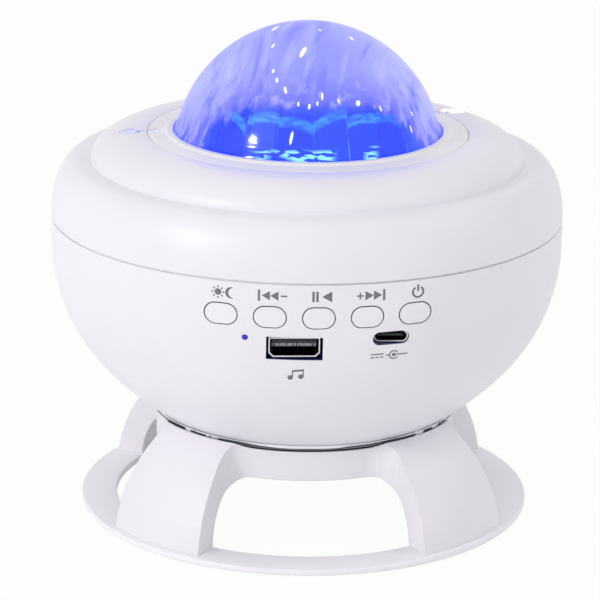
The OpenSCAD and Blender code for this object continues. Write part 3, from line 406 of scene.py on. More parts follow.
plastics = {
    "standWhite": ((243, 240, 245), (238, 235, 241), (0.4, 0.5)),
    # ringWhite is lighter than standWhite: painted light against the bowl's shade on the ring
    "ringWhite": ((251, 249, 253), (247, 245, 249), (0.4, 0.5)),
    "shellWhite": ((244, 241, 247), (239, 236, 242), (0.32, 0.42)),
    "bezelWhite": ((246, 244, 240), (242, 240, 236), (0.32, 0.42)),
    "buttonWhite": ((245, 242, 248), (241, 238, 245), (0.3, 0.38)),
    "innerPlastic": ((205, 206, 212), (190, 191, 199), (0.45, 0.6)),
    "gearPlastic": ((238, 234, 220), (226, 221, 204), (0.3, 0.45)),
    "padRubber": ((70, 70, 74), (52, 52, 56), (0.75, 0.9)),
    "blackPlastic": ((60, 60, 66), (44, 44, 50), (0.4, 0.55)),
    "tongueBlack": ((40, 38, 46), (30, 28, 36), (0.4, 0.55)),
    "speakerBlack": ((48, 48, 52), (36, 36, 40), (0.5, 0.65)),
    "conePaper": ((62, 60, 58), (44, 42, 41), (0.85, 0.95)),
    "lampBoardWhite": ((236, 238, 240), (222, 225, 228), (0.25, 0.4)),
    "leadRed": ((186, 30, 34), (160, 22, 26), (0.35, 0.5)),
    "leadYellow": ((222, 182, 40), (204, 160, 30), (0.35, 0.5)),
    "leadBlue": ((40, 70, 178), (30, 54, 150), (0.35, 0.5)),
    "printGrey": ((122, 122, 130), (104, 104, 112), (0.5, 0.6)),
}
metals = {
    "screwSteel": ((196, 196, 200), (150, 150, 156)),
    "socketSteel": ((232, 232, 238), (206, 206, 214)),
    "motorSteel": ((190, 190, 194), (158, 158, 163)),
    "sinkAluminium": ((214, 216, 220), (176, 178, 184)),
    "laserBrass": ((206, 168, 92), (168, 128, 60)),
}
clears = {
    "gratingClear": ((214, 232, 240), (190, 214, 226), 0.35),
    "lensClear": ((226, 234, 250), (196, 206, 240), 0.2),
    "pipeBlue": ((30, 52, 220), (14, 28, 206), 0.9),
}
# marksAndShade is painted shade for buttons, sockets and the bowl's holes, and the contacts for
# tongues
special = {
    "standWhite": {"bevel": 0.4}, "ringWhite": {"bevel": 0.4}, "padRubber": {"bump": 0.3},
    "buttonWhite": {"bevel": 0.3, "marksAndShade": paintedWallShade}, "blackPlastic": {"bump": 0.12},
    "tongueBlack": {"bump": 0.12, "marksAndShade": tongueStain}, "speakerBlack": {"bump": 0.2},
    "conePaper": {"grain": 900, "bump": 0.6}, "printGrey": {"bevel": 0.01},
    "socketSteel": {"stretch": (10, 1, 10), "marksAndShade": paintedDepthShade},
    "motorSteel": {"stretch": (1, 1, 14)}, "laserBrass": {"stretch": (1, 1, 14)},
    "sinkAluminium": {"rough": (0.3, 0.5)}, "gratingClear": {"scale": 1400},
    "lensClear": {"glow": 0.1, "rough": 0.02}, "pipeBlue": {"glow": 0.22, "rough": 0.1},
}
materials = {}
for make, kinds in ((moulded, plastics), (metal, metals), (clearPlastic, clears)):
    for name, look in kinds.items():
        materials[name] = make(name, *look, **special.get(name, {}))


# windows in the deck and the bezel, with a pinhole painted as a dark dot of painted shade (place in
# mm, edge in metres)

window = {"pins": ((-45.9, 0, 0), (39.75, 22.95, 0)), "pinEdge": (0.0005, 0.0008, 1.0, 0.0),
          "pinTone": (96, 90, 104), "clouds": (420, 3), "range": (0.38, 0.62), "rough": 0.2,
          "bump": 0.2, "depth": 0.1}
# windowPaintedHighlight is the same window as windowBlue, painted near white with more glow as a
# painted highlight
windows = {"windowBlue": ((206, 216, 252), (184, 196, 230), 0.14),
           "windowPale": ((240, 247, 255), (220, 234, 255), 0.1),
           "windowPaintedHighlight": ((252, 253, 255), (226, 240, 255), 0.45)}


def windowMaterial(name, light, dark, glow):
    material, tree = started(name)
    place = node(tree, "TexCoord").outputs["Object"]
    level = node(tree, "Mapping", {"Vector": place, "Scale": (1, 1, 0)}).outputs[0]
    away = [node(tree, "VectorMath", {0: level, 1: Vector(pin) * mm},
                 operation="DISTANCE").outputs["Value"] for pin in window["pins"]]
    pinhole = eased(tree, maths(tree, "MINIMUM", *away), *window["pinEdge"])
    clouds = ranged(tree, noise(tree, *window["clouds"]), *window["range"])
    tone = blended(tree, clouds, colour(*dark), colour(*light))
    tone = blended(tree, pinhole, tone, colour(*window["pinTone"]))
    skin = bumped(tree, clouds, window["bump"], window["depth"])
    closed(tree, glowing(tree, tone, window["rough"], glow, {"Normal": skin}))
    return material


for name, look in windows.items():
    materials[name] = windowMaterial(name, *look)


# circuit boards and lamp chips

board = {"scale": 420.0, "gap": 0.06, "first": (30, 34, 112), "second": (22, 26, 92),
         "track": (50, 58, 146), "pad": (198, 172, 96), "padEdge": (0.12, 0.16, 1.0, 0.0),
         "rough": 0.34, "bump": 0.15, "depth": 0.05}
chip = {"grain": (1500, 2), "range": (0.35, 0.65), "rough": 0.3}
chips = {"lampLight": ((120, 140, 255), 1.5), "indicatorLight": ((60, 90, 255), 1.2)}


def boardMaterial(name):
    material, tree = started(name)
    place = node(tree, "TexCoord").outputs["Object"]
    tracks = node(tree, "TexBrick", {
        "Vector": place, "Scale": board["scale"], "Mortar Size": board["gap"],
        "Color1": colour(*board["first"]), "Color2": colour(*board["second"]),
        "Mortar": colour(*board["track"])}).outputs["Color"]
    dots = node(tree, "TexVoronoi", {"Vector": place, "Scale": board["scale"]}).outputs["Distance"]
    pads = ranged(tree, dots, *board["padEdge"])
    tone = blended(tree, pads, tracks, colour(*board["pad"]))
    skin = bumped(tree, tracks, board["bump"], board["depth"])
    closed(tree, principled(tree, tone, board["rough"], {"Metallic": pads, "Normal": skin}))
    return material


def chipMaterial(name, tint, strength):
    material, tree = started(name)
    dots = ranged(tree, noise(tree, *chip["grain"]), *chip["range"])
    tone = blended(tree, dots, colour(*tint), (1, 1, 1, 1))
    closed(tree, glowing(tree, tone, chip["rough"], strength, {}))
    return material


materials["boardBlue"] = boardMaterial("boardBlue")
for name, look in chips.items():
    materials[name] = chipMaterial(name, *look)
print("materials of the plain pieces ready")


# lower shell: a ball, then a smaller round that ends upright; cuts are Y and depth, but Z and
# depth for the grille; socket holes are X, Z, width and height

bowl = {"ballR": 75.8, "bodyR": 69.4, "ballAngle": 50, "flatR": 15, "capR": 6, "wall": 2.4,
        "pivot": 92.6255, "seam": 82.2255, "grooveR": 68.7, "grooveLip": 0.2, "rimR": 67.0,
        "rimSoft": 0.18, "segments": 320, "ballSteps": 30, "roundSteps": 26,
        "buttons": [-24.6, -12.3, 0, 12.3, 24.6], "buttonZ": 73.4255, "buttonHole": (8.5, 5.9),
        "usb": (-6, 64.9255, 14.3, 6.4), "typec": (18.5, 67.2255, 9.34, 3.66),
        "indicator": (-18.5, 67.5255, 0.8), "grille": (1.2, 4.5, 3), "buttonCut": (-66, 16),
        "usbCut": (-66, 30), "smallCut": (-62, 24), "grilleCut": (20, 16)}
holes = {"depth": (0.35, 0.15), "low": (0.058, 0.060, 0.0, 1.0), "high": (0.0775, 0.0785, 1.0, 0.0),
         "tone": (34, 34, 112)}  # painted shade: the walls of the holes in dark navy
ballTurn = math.radians(bowl["ballAngle"])
drop = (bowl["ballR"] - bowl["bodyR"]) / (1 - math.sin(ballTurn))
roundR = bowl["ballR"] - drop
roundX, roundZ = drop * math.sin(ballTurn), bowl["pivot"] - drop * math.cos(ballTurn)


def bowlLine(inset):
    turn = 90 - bowl["ballAngle"]
    low = math.sqrt(bowl["ballR"] ** 2 - bowl["flatR"] ** 2) - inset
    r = bowl["ballR"] - inset
    start = math.degrees(math.acos(low / r))
    line = [(0, bowl["pivot"] - low), (bowl["capR"], bowl["pivot"] - low)]
    line += arc(0, bowl["pivot"], r, r, start - 90, -turn, bowl["ballSteps"])
    return line + arc(roundX, roundZ, roundR - inset, roundR - inset, -turn, 0,
                      bowl["roundSteps"])[1:]


# painted shade: dark navy on the walls of the holes and on the shell's inside
def paintedHoleShade(tree, tone):
    parts = axes(tree)
    level = node(tree, "CombineXYZ", {0: parts["X"], 1: parts["Y"]}).outputs[0]
    out = node(tree, "VectorMath", {0: level}, operation="LENGTH").outputs["Value"]
    out = minus(tree, out, roundX * mm)
    down = maths(tree, "MINIMUM", minus(tree, parts["Z"], roundZ * mm), 0.0)
    away = maths(tree, "ADD", times(tree, out, out), times(tree, down, down))
    limits = [(roundR - depth) * mm for depth in holes["depth"]]
    deep = eased(tree, maths(tree, "SQRT", away), *limits, 1.0, 0.0)
    zone = times(tree, ranged(tree, parts["Z"], *holes["low"]),
                 ranged(tree, parts["Z"], *holes["high"]))
    return blended(tree, times(tree, deep, zone), tone, colour(*holes["tone"]))


def bowlCutters():
    y, depth = bowl["buttonCut"]
    cutters = [pillCutter("hole", *bowl["buttonHole"], (x, y, bowl["buttonZ"]), depth)
               for x in bowl["buttons"]]
    y, depth = bowl["usbCut"]
    x, z, wide, high = bowl["usb"]
    cutters.append(boxCutter("usbHole", (wide, depth, high), (x, y, z)))
    y, depth = bowl["smallCut"]
    x, z, wide, high = bowl["typec"]
    cutters.append(pillCutter("typecHole", wide, high, (x, y, z), depth))
    x, z, r = bowl["indicator"]
    cutters.append(rodCutter("indicatorHole", r, (x, y, z), depth, "y", 32))
    z, depth = bowl["grilleCut"]
    r, pitch, rings = bowl["grille"]
    turns = [(k, math.tau * i / (6 * k)) for k in range(1, rings + 1) for i in range(6 * k)]
    places = [(0, 0)] + [(pitch * k * math.cos(t), pitch * k * math.sin(t)) for k, t in turns]
    return cutters + [rodCutter("grilleHole", r, (x, y, z), depth, vertices=24) for x, y in places]


bowlWhite = moulded("bowlWhite", *plastics["shellWhite"], marksAndShade=paintedHoleShade)
outerLine = bowlLine(0)
innerLine = bowlLine(bowl["wall"])
seam = bowl["seam"]
groove = seam - bowl["grooveLip"]
rim = [outerLine[-1], (bowl["bodyR"], groove), (bowl["grooveR"], groove), (bowl["grooveR"], seam),
       (bowl["rimR"], seam), innerLine[-1]]
lowerShell = spun("lowerShell", outerLine + softened(rim, bowl["rimSoft"])[4:-4] + innerLine[::-1],
                  bowl["segments"], closed=False)
cutBy(lowerShell, bowlCutters())
finished(lowerShell, "head", "shell_white", bowlWhite, "lower_shell")
print("lower shell", len(lowerShell.data.polygons))


# upper shell: rounds are half width and height, turns are where the windows are, in degrees

cover = {"shoulderR": 62.5, "shoulder": (6.9, 14.5), "shoulderIn": (4.5, 12.1), "rise": 0.8,
         "ledgeR": 60.2, "ledgeZ": 97.5255, "wallR": 46, "wall": (12.6, 7.1), "wallIn": (10.2, 4.7),
         "deck": [(43.4, 104.6255), (43.4, 101.8255), (38.2, 101.8255), (38.2, 100.2255),
                  (45.4, 100.2255), (45.4, 102.2255)],
         "inside": (56.2, 95.1255), "tongueTop": (65.7, 84.2), "tongueR": (65.7, 66.9),
         "tongueDeep": 3, "soft": 0.3, "starR": 47.6, "starHole": 3.35, "starCut": (103, 12),
         "turns": (180, 30)}


def deckHoles(name, r, away, z, depth):
    turns = [math.radians(turn) for turn in cover["turns"]]
    return [rodCutter(name, r, (away * math.cos(t), away * math.sin(t), z), depth) for t in turns]


lip = seam + bowl["grooveLip"]
shoulderZ = seam + cover["rise"]
tongueIn, tongueOut = cover["tongueR"]
tongueZ = seam - cover["tongueDeep"]
coverLine = [(bowl["grooveR"], seam), (bowl["grooveR"], lip), (bowl["bodyR"], lip)]
coverLine += arc(cover["shoulderR"], shoulderZ, *cover["shoulder"], 0, 90, 28)
coverLine += [(cover["ledgeR"], cover["ledgeZ"])]
coverLine += arc(cover["wallR"], cover["ledgeZ"], *cover["wall"], 0, 90, 28) + cover["deck"]
coverLine += arc(cover["wallR"], cover["ledgeZ"], *cover["wallIn"], 90, 0, 20) + [cover["inside"]]
coverLine += arc(cover["shoulderR"], shoulderZ, *cover["shoulderIn"], 90, 8, 20)
coverLine += [cover["tongueTop"], (tongueIn, tongueZ), (tongueOut, tongueZ), (tongueOut, seam)]
upperShell = spun("upperShell", softened(coverLine, cover["soft"]), bowl["segments"])
cutBy(upperShell, deckHoles("starHole", cover["starHole"], cover["starR"], *cover["starCut"]))
finished(upperShell, "head", "shell_white", materials["shellWhite"], "upper_shell")
print("upper shell", len(upperShell.data.polygons))


# bezel

bezel = {"profile": [(36.45, 103.2255), (43.3, 103.2255), (43.3, 104.6255), (38.9, 104.85),
                     (38.1, 105.4255), (36.45, 105.4255)],
         "soft": (0.3, 4), "glowR": 40.6, "glowHole": 2.25, "glowCut": (104, 6)}
bezelRing = spun("bezelRing", softened(bezel["profile"], *bezel["soft"]))
cutBy(bezelRing, deckHoles("glowHole", bezel["glowHole"], bezel["glowR"], *bezel["glowCut"]))
finished(bezelRing, "head", "shell_white", materials["bezelWhite"], "dome_bezel")
print("bezel")


# base ring

base = {"profile": [(52.2, 0.4), (61.4, 0.4), (61.9, 0.9), (61.9, 1.95), (61.65, 2.2), (52.2, 2.2)],
        "soft": (0.35, 4), "padHole": 3.6, "padR": 57.05, "padDeep": 2, "pads": 4}
baseRing = spun("baseRing", softened(base["profile"], *base["soft"]))
padHole = rodCutter("padHole", base["padHole"], (base["padR"], 0, 0), base["padDeep"])
cutBy(baseRing, turnedCopies(padHole, base["pads"]))
finished(baseRing, "stand", "stand_white", materials["ringWhite"], "base_ring")
print("base ring")


# clear seat ring: its faces follow two balls around the pivot

seat = {"innerR": 36, "sleeveR": 39.4, "outerR": 42.4, "low": 24.6255, "ballIn": 76.05,
        "ballOut": 76.85, "outSteps": 6, "inSteps": 10, "soft": 0.15}

# its look, in metres: a dark line of painted shade just under the edge, broken by painted glints at
# the sides, on a body that glows as painted light

sheen = {"edge": (0.006, 0.022, 0.02884, 0.0292), "swell": (0.36, 0.62, -0.00012, 0.00012),
         "swellGrain": (60, 2, 0.5, (1, 1, 0)), "glintGrain": (260, 2, 0.5, (1, 1, 0)),
         "glints": (0.55, 0.62, 0.0, 0.85), "glintSide": (0.02, 0.03), "line": (-0.00004, 0.00006),
         "pale": (240, 240, 246), "dark": (44, 43, 54), "tint": (240, 241, 246), "rough": 0.2,
         "glow": 0.32, "cover": (0.0, 1.0, 0.72, 0.97), "shineRough": 0.04, "gleam": 0.6}


def ballEdge(start, end, steps, ball):
    radii = [start + (end - start) * k / steps for k in range(steps + 1)]
    return [(r, bowl["pivot"] - math.sqrt(ball ** 2 - r ** 2)) for r in radii]


def seatMaterial():
    material, tree = started("clearSeat")
    parts = axes(tree)
    side = maths(tree, "ABSOLUTE", parts["X"])
    swell = eased(tree, noise(tree, *sheen["swellGrain"]), *sheen["swell"])
    swell = maths(tree, "ADD", swell, eased(tree, side, *sheen["edge"]))
    glints = ranged(tree, noise(tree, *sheen["glintGrain"]), *sheen["glints"])
    glints = times(tree, glints, ranged(tree, side, *sheen["glintSide"]))
    shade = eased(tree, minus(tree, swell, parts["Z"]), *sheen["line"])
    shade = times(tree, shade, minus(tree, 1.0, glints))
    tone = blended(tree, shade, colour(*sheen["pale"]), colour(*sheen["dark"]))
    solid = glowing(tree, tone, sheen["rough"], sheen["glow"], {})
    through = shader(tree, "BsdfTransparent", {"Color": colour(*sheen["tint"])})
    inside = mixed(tree, ranged(tree, shade, *sheen["cover"]), through, solid)
    shine = shader(tree, "BsdfGlossy", {"Roughness": sheen["shineRough"]})
    closed(tree, mixed(tree, gleam(tree, sheen["gleam"]), inside, shine))
    return material


seatLine = [(seat["innerR"], seat["low"]), (seat["sleeveR"], seat["low"])]
seatLine += ballEdge(seat["sleeveR"], seat["outerR"], seat["outSteps"], seat["ballOut"])
seatLine += ballEdge(seat["outerR"], seat["innerR"], seat["inSteps"], seat["ballIn"])
seatRing = spun("seatRing", softened(seatLine, seat["soft"]))
finished(seatRing, "seat", "clear_seat", seatMaterial(), "seat_ring")
print("seat ring")


# dome: outer ball, inner face rippled

dome = {"ballR": 36.2, "innerR": 34.2, "ballZ": 98.1255, "footZ": 107.6255, "flangeZ": 101.8255,
        "foot": [(35.6, 106.4), (36.3, 105.0255), (36.3, 103.4), (36.5, 103.2255),
                 (43.2, 103.2255), (43.2, 101.8255)],
        "ripple": 0.35, "rippleWide": 9, "rippleTurns": 14, "rippleZ": 104, "rippleR": 35,
        "segments": 288, "outSteps": 64, "inSteps": 72}
footAngle = math.degrees(math.asin((dome["footZ"] - dome["ballZ"]) / dome["ballR"]))
innerAngle = math.degrees(math.asin((dome["flangeZ"] - dome["ballZ"]) / dome["innerR"]))
domeLine = arc(0, dome["ballZ"], dome["ballR"], dome["ballR"], 90, footAngle, dome["outSteps"])
domeLine += dome["foot"]
domeLine += arc(0, dome["ballZ"], dome["innerR"], dome["innerR"], innerAngle, 90, dome["inSteps"])
domeShell = spun("domeShell", domeLine, dome["segments"], closed=False)
edit(domeShell)
centre = Vector((0, 0, dome["ballZ"] * mm))
pick(domeShell, lambda co: (co.z > dome["rippleZ"] * mm
                            and (co - centre).length < dome["rippleR"] * mm))
bpy.ops.object.vertex_group_add()
bpy.ops.object.vertex_group_assign()
clearAll()
ripples = bpy.data.textures.new("ripples", "WOOD")
ripples.wood_type = "BANDNOISE"
ripples.noise_scale = dome["rippleWide"] * mm
ripples.turbulence = dome["rippleTurns"]
modified(domeShell, "DISPLACE", texture=ripples, strength=-dome["ripple"] * mm, mid_level=0,
         vertex_group=domeShell.vertex_groups[0].name, texture_coords="LOCAL")
smoothed(domeShell)


# the haze on the dome, in metres: its lower edge hangs down at the sides, in teeth, over a
# clear part that closes where it is seen at a low angle

haze = {"edgeZ": 0.1176, "drop": (0.012, 0.033, 0.0, 0.009),
        "endDrop": (0.0265, 0.0315, 0.0, 0.0065), "teeth": (0.012, 0.030, 0.0035, 0.022),
        "toothGrain": (330, 3, 0.6, (1, 1, 0.04)), "border": (-0.0012, 0.002),
        "near": (0.0, 0.011, 1.0, 0.0), "nearShare": 0.9, "patches": (34, 2, 0.4, (1, 1, 0.6)),
        "patchRange": (0.38, 0.62), "blots": (66, 2, 0.5, (1, 1, 0.45)), "distortion": 0.6,
        "blotRange": (0.62, 0.7, 0.0, 0.4), "threads": (420, 2, 0.5, (1, 1, 0.05)),
        "threadRange": (0.5, 0.62, 0.0, 0.7), "gapRange": (0.38, 0.48, 0.85, 0.0),
        "gapSide": (0.018, 0.026), "darkStrands": (170, 0.3, 6.0),
        "darkRange": (0.54, 0.66, 0.0, 0.9), "lightStrands": (230, 0.22, 6.0),
        "lightRange": (0.5, 0.66, 0.0, 0.8), "fade": (0.022, 0.032, 1.0, 0.2),
        "top": (0.120, 0.134, 0.0, 0.4), "clear": (0.28, 0.46, 0.08, 0.93),
        "cover": (0.3, 0.7, 0.7, 0.82), "rough": 0.45, "bump": 0.3, "depth": 1.0, "glow": 0.37,
        "shineRough": 0.1, "gleam": 0.8, "gleamShare": (0.0, 1.0, 1.0, 0.4)}
hazeTones = {"soft": (156, 160, 254), "pale": (177, 181, 255), "lightStrand": (190, 194, 255),
             "darkStrand": (120, 122, 246), "blot": (122, 124, 248), "top": (130, 134, 250),
             "near": (106, 104, 246), "thread": (178, 180, 255), "gap": (66, 80, 250),
             "clear": (34, 90, 255), "through": (222, 228, 255)}


def domeMaterial():
    material, tree = started("domeHaze")
    parts = axes(tree)
    side = maths(tree, "ABSOLUTE", parts["X"])
    drop = maths(tree, "ADD", eased(tree, side, *haze["drop"]),
                 eased(tree, side, *haze["endDrop"]))
    comb = minus(tree, noise(tree, *haze["toothGrain"]), 0.5)
    comb = times(tree, comb, eased(tree, side, *haze["teeth"]))
    line = maths(tree, "ADD", minus(tree, haze["edgeZ"], drop), comb)
    rise = minus(tree, parts["Z"], line)
    above = eased(tree, rise, *haze["border"])
    near = eased(tree, rise, *haze["near"])
    patches = noise(tree, *haze["patches"])
    blots = noise(tree, *haze["blots"], distortion=haze["distortion"])
    threads = noise(tree, *haze["threads"])
    fade = eased(tree, side, *haze["fade"])
    ball = (dome["ballZ"] * mm, dome["ballR"] * mm)
    light = eased(tree, strands(tree, *haze["lightStrands"], *ball), *haze["lightRange"])
    dark = eased(tree, strands(tree, *haze["darkStrands"], *ball), *haze["darkRange"])
    gaps = times(tree, near, ranged(tree, threads, *haze["gapRange"]))
    soft = blended(tree, eased(tree, patches, *haze["patchRange"]),
                   colour(*hazeTones["soft"]), colour(*hazeTones["pale"]))
    soft = layered(tree, soft, hazeTones, [
        (times(tree, fade, light), "lightStrand"), (times(tree, fade, dark), "darkStrand"),
        (eased(tree, blots, *haze["blotRange"]), "blot"),
        (eased(tree, parts["Z"], *haze["top"]), "top"),
        (times(tree, near, haze["nearShare"]), "near"),
        (times(tree, near, ranged(tree, threads, *haze["threadRange"])), "thread"),
        (times(tree, gaps, ranged(tree, side, *haze["gapSide"])), "gap")])
    tone = blended(tree, above, colour(*hazeTones["clear"]), soft)
    grazing = node(tree, "LayerWeight", {"Blend": 0.5}).outputs["Facing"]
    clear = eased(tree, grazing, *haze["clear"])
    hazy = ranged(tree, patches, *haze["cover"])
    thick = node(tree, "Mix", {0: above, 2: clear, 3: hazy}).outputs[0]
    through = shader(tree, "BsdfTransparent", {"Color": colour(*hazeTones["through"])})
    skin = bumped(tree, blots, haze["bump"], haze["depth"])
    body = glowing(tree, tone, haze["rough"], haze["glow"], {"Normal": skin})
    shine = shader(tree, "BsdfGlossy", {"Roughness": haze["shineRough"]})
    share = times(tree, gleam(tree, haze["gleam"]), ranged(tree, above, *haze["gleamShare"]))
    closed(tree, mixed(tree, share, mixed(tree, thick, through, body), shine))
    return material


finished(domeShell, "head", "dome_haze", domeMaterial(), "projection_dome")
print("dome")


# short ridges on the dome that catch the light and glow as painted glints: x, height, half width,
# half length, lean in degrees; past the tip's share of their length they get thinner

ridges = {"thick": 0.22, "sunk": 0.1, "tip": 0.7, "thinner": 0.8, "smooth": 60, "places": [
    (-9.2, 133.0, 0.6, 2.4, 44), (-10.1, 130.6, 0.4, 1.5, 6), (-10.3, 125.8, 0.4, 1.1, 10),
    (-9.4, 124.0, 0.42, 1.2, 20), (-7.3, 122.0, 0.42, 1.6, 22), (-2.4, 130.0, 0.7, 2.9, -14),
    (2.5, 133.6, 0.4, 0.9, 0), (10.8, 131.7, 0.5, 1.4, -28), (2.2, 120.8, 0.34, 1.7, -4),
    (11.6, 118.8, 0.65, 1.2, -24), (17.6, 116.9, 0.3, 1.2, 0), (-1.2, 118.5, 0.38, 1.1, -8),
    (-4.0, 119.0, 0.32, 1.0, 6), (26.3, 114.0, 0.3, 1.1, 4), (0.9, 119.2, 0.3, 1.0, 0),
    (-5.9, 111.0, 0.42, 2.4, -8), (26.0, 110.5, 0.3, 1.6, 4), (6.5, 119.6, 0.28, 1.0, 8)]}
glint = {"grain": (1800, 2), "range": (0.3, 0.7), "tint": (222, 226, 255), "rough": 0.08,
         "ior": 1.6, "glow": 0.35}


def ridgeMaterial():
    material, tree = started("domeRidge")
    grain = ranged(tree, noise(tree, *glint["grain"]), *glint["range"])
    tone = blended(tree, grain, colour(*glint["tint"]), (1, 1, 1, 1))
    closed(tree, glowing(tree, tone, glint["rough"], glint["glow"],
                         {"IOR": glint["ior"], "Coat Weight": 1.0}))
    return material


def ridge(x, z, wide, tall, lean):
    reach = dome["ballR"] - ridges["sunk"]
    y = -math.sqrt(reach ** 2 - x ** 2 - (z - dome["ballZ"]) ** 2)
    place = Vector((x, y, z)) * mm
    normal = Vector((x, y, z - dome["ballZ"])).normalized()
    turn = normal.to_track_quat("Y", "Z") @ Quaternion((0, 1, 0), math.radians(lean))
    clearAll()
    bpy.ops.mesh.primitive_uv_sphere_add(segments=16, ring_count=12, radius=mm, location=place,
                                         rotation=turn.to_euler(),
                                         scale=(wide, ridges["thick"], tall))
    piece = named("ridge")
    edit(piece)
    pick(piece, lambda co: (co - place).length > ridges["tip"] * tall * mm)
    bpy.ops.transform.resize(value=(ridges["thinner"],) * 3, center_override=place)
    clearAll()
    return piece


domeRidges = joined("domeRidges", [ridge(*row) for row in ridges["places"]])
smoothed(domeRidges, ridges["smooth"])
finished(domeRidges, "head", "dome_haze", ridgeMaterial())
print("dome ridges")


# flutes of the wave cup, one on each edge between two panes

cup = {"count": 20, "halfWide": 1.1, "deep": 0.7, "proud": 0.3, "lowR": 31.37, "highR": 27.65,
       "lowZ": 103.5, "highZ": 116.3}

# the panes, in metres: a pale band of painted highlight at the crest, broken painted glints at the
# foot, and a painted highlight line on some of the edges, all three glowing; across a pane goes
# from 0 in the middle to 0.5 at the edge

wave = {"crest": 0.1130, "arch": -0.003, "rise": 0.0022, "lean": 0.008, "shuffle": 0.618,
        "ripples": (190, 3, 0.5, (1, 1, 0.5)), "distortion": 0.6, "cells": 430.0,
        "cellStretch": (1, 1, 3.4), "band": (0.0008, 0.0018, 1.0, 0.0),
        "bandCells": (0.2, 0.8, 0.45, 1.0), "bandShare": 0.9, "foot": (0.1062, 0.1074, 1.0, 0.0),
        "footCells": (0.5, 0.56), "footGrain": (70, 1), "footTurn": (0, 0, 0.13),
        "footRange": (0.44, 0.5), "footSide": (-0.017, -0.013), "border": (0.44, 0.49),
        "borderShare": 0.45, "line": (0.465, 0.49), "lineOn": (0.74, 0.76),
        "lineGaps": (0.4, 0.55, 0.2, 1.0), "top": (0.1150, 0.1170, 0.0, 0.5), "deepShare": 0.65,
        "bandGlow": 0.35, "glow": (0.0, 1.0, 0.6, 2.0), "bump": 0.3, "depth": 0.5, "rough": 0.3,
        "coat": 0.3, "coatRough": 0.12, "specular": 0.12, "ior": 1.5}
waveTones = {"dark": (18, 82, 252), "light": (44, 108, 255), "top": (130, 160, 255),
             "border": (22, 36, 190), "line": (140, 214, 255), "band": (84, 196, 255),
             "foot": (160, 246, 255), "deep": (6, 26, 150)}


def cupMaterial():
    material, tree = started("waveClear")
    place = node(tree, "TexCoord").outputs["Object"]
    parts = node(tree, "SeparateXYZ", {0: place}).outputs
    turns = times(tree, maths(tree, "ARCTAN2", parts["Y"], parts["X"]), cup["count"] / math.tau)
    slant = minus(tree, maths(tree, "FRACT", turns), 0.5)
    across = maths(tree, "ABSOLUTE", slant)
    own = maths(tree, "FRACT", times(tree, maths(tree, "FLOOR", turns), wave["shuffle"]))
    ripple = noise(tree, *wave["ripples"], distortion=wave["distortion"])
    cells = node(tree, "Mapping", {"Vector": place, "Scale": wave["cellStretch"]}).outputs[0]
    cells = node(tree, "TexVoronoi", {"Vector": cells, "Scale": wave["cells"]}).outputs["Color"]
    cells = node(tree, "SeparateColor", {0: cells}).outputs[0]
    crest = maths(tree, "POWER", across, 2.0)
    crest = maths(tree, "MULTIPLY_ADD", crest, wave["arch"], wave["crest"])
    crest = maths(tree, "MULTIPLY_ADD", own, wave["rise"], crest)
    slant = times(tree, slant, minus(tree, own, 0.5))
    crest = maths(tree, "MULTIPLY_ADD", slant, wave["lean"], crest)
    # painted highlights: a band at the crest, glints at the foot and a line on some edges, which
    # also glow
    band = maths(tree, "ABSOLUTE", minus(tree, parts["Z"], crest))
    band = times(tree, eased(tree, band, *wave["band"]), ranged(tree, cells, *wave["bandCells"]))
    foot = times(tree, eased(tree, parts["Z"], *wave["foot"]),
                 ranged(tree, cells, *wave["footCells"]))
    patches = noise(tree, *wave["footGrain"], turn=wave["footTurn"])
    foot = times(tree, foot, ranged(tree, patches, *wave["footRange"]))
    foot = times(tree, foot, ranged(tree, parts["X"], *wave["footSide"]))
    border = eased(tree, across, *wave["border"])
    line = times(tree, eased(tree, across, *wave["line"]), ranged(tree, own, *wave["lineOn"]))
    tone = blended(tree, own, colour(*waveTones["dark"]), colour(*waveTones["light"]))
    tone = layered(tree, tone, waveTones, [
        (eased(tree, parts["Z"], *wave["top"]), "top"),
        (times(tree, border, wave["borderShare"]), "border"),
        (times(tree, line, ranged(tree, ripple, *wave["lineGaps"])), "line"),
        (times(tree, band, wave["bandShare"]), "band"), (foot, "foot")])
    deep = blended(tree, wave["deepShare"], tone, colour(*waveTones["deep"]))
    glow = times(tree, maths(tree, "MAXIMUM", line, band), wave["bandGlow"])
    glow = ranged(tree, maths(tree, "MAXIMUM", foot, glow), *wave["glow"])
    closed(tree, principled(tree, deep, wave["rough"], {
        "Coat Weight": wave["coat"], "Coat Roughness": wave["coatRough"], "IOR": wave["ior"],
        "Specular IOR Level": wave["specular"], "Emission Color": tone, "Emission Strength": glow,
        "Normal": bumped(tree, ripple, wave["bump"], wave["depth"])}))
    return material


materials["waveClear"] = cupMaterial()
clearAll()
bpy.ops.mesh.primitive_uv_sphere_add(segments=24, ring_count=16, radius=cup["halfWide"] * mm)
flute = named("flute")
tall = cup["highZ"] - cup["lowZ"]
lean = math.atan2(cup["lowR"] - cup["highR"], tall)
edit(flute)
pick(flute, lambda co: co.z < 1e-6)
bpy.ops.transform.translate(value=(0, 0, -tall / math.cos(lean) * mm))
bpy.ops.mesh.select_all(action="SELECT")
bpy.ops.transform.resize(value=(cup["deep"] / cup["halfWide"], 1, 1), center_override=(0, 0, 0))
bpy.ops.transform.rotate(value=lean, orient_axis="Y", center_override=(0, 0, 0))
middle = cup["highR"] - cup["deep"] + cup["proud"]
bpy.ops.transform.translate(value=(middle * mm, 0, cup["highZ"] * mm))
clearAll()
cupFlutes = smoothed(joined("cupFlutes", turnedCopies(flute, cup["count"])))
finished(cupFlutes, "cup", "wave_clear", materials["waveClear"])
print("cup flutes", len(cupFlutes.data.polygons))


# printed signs on the front, in rows, with z from the row's own: blocks are x and z of two
# corners; arrows x of tip and back, half height; discs x, z, radius; rings x, z, two radii,
# start, end, steps

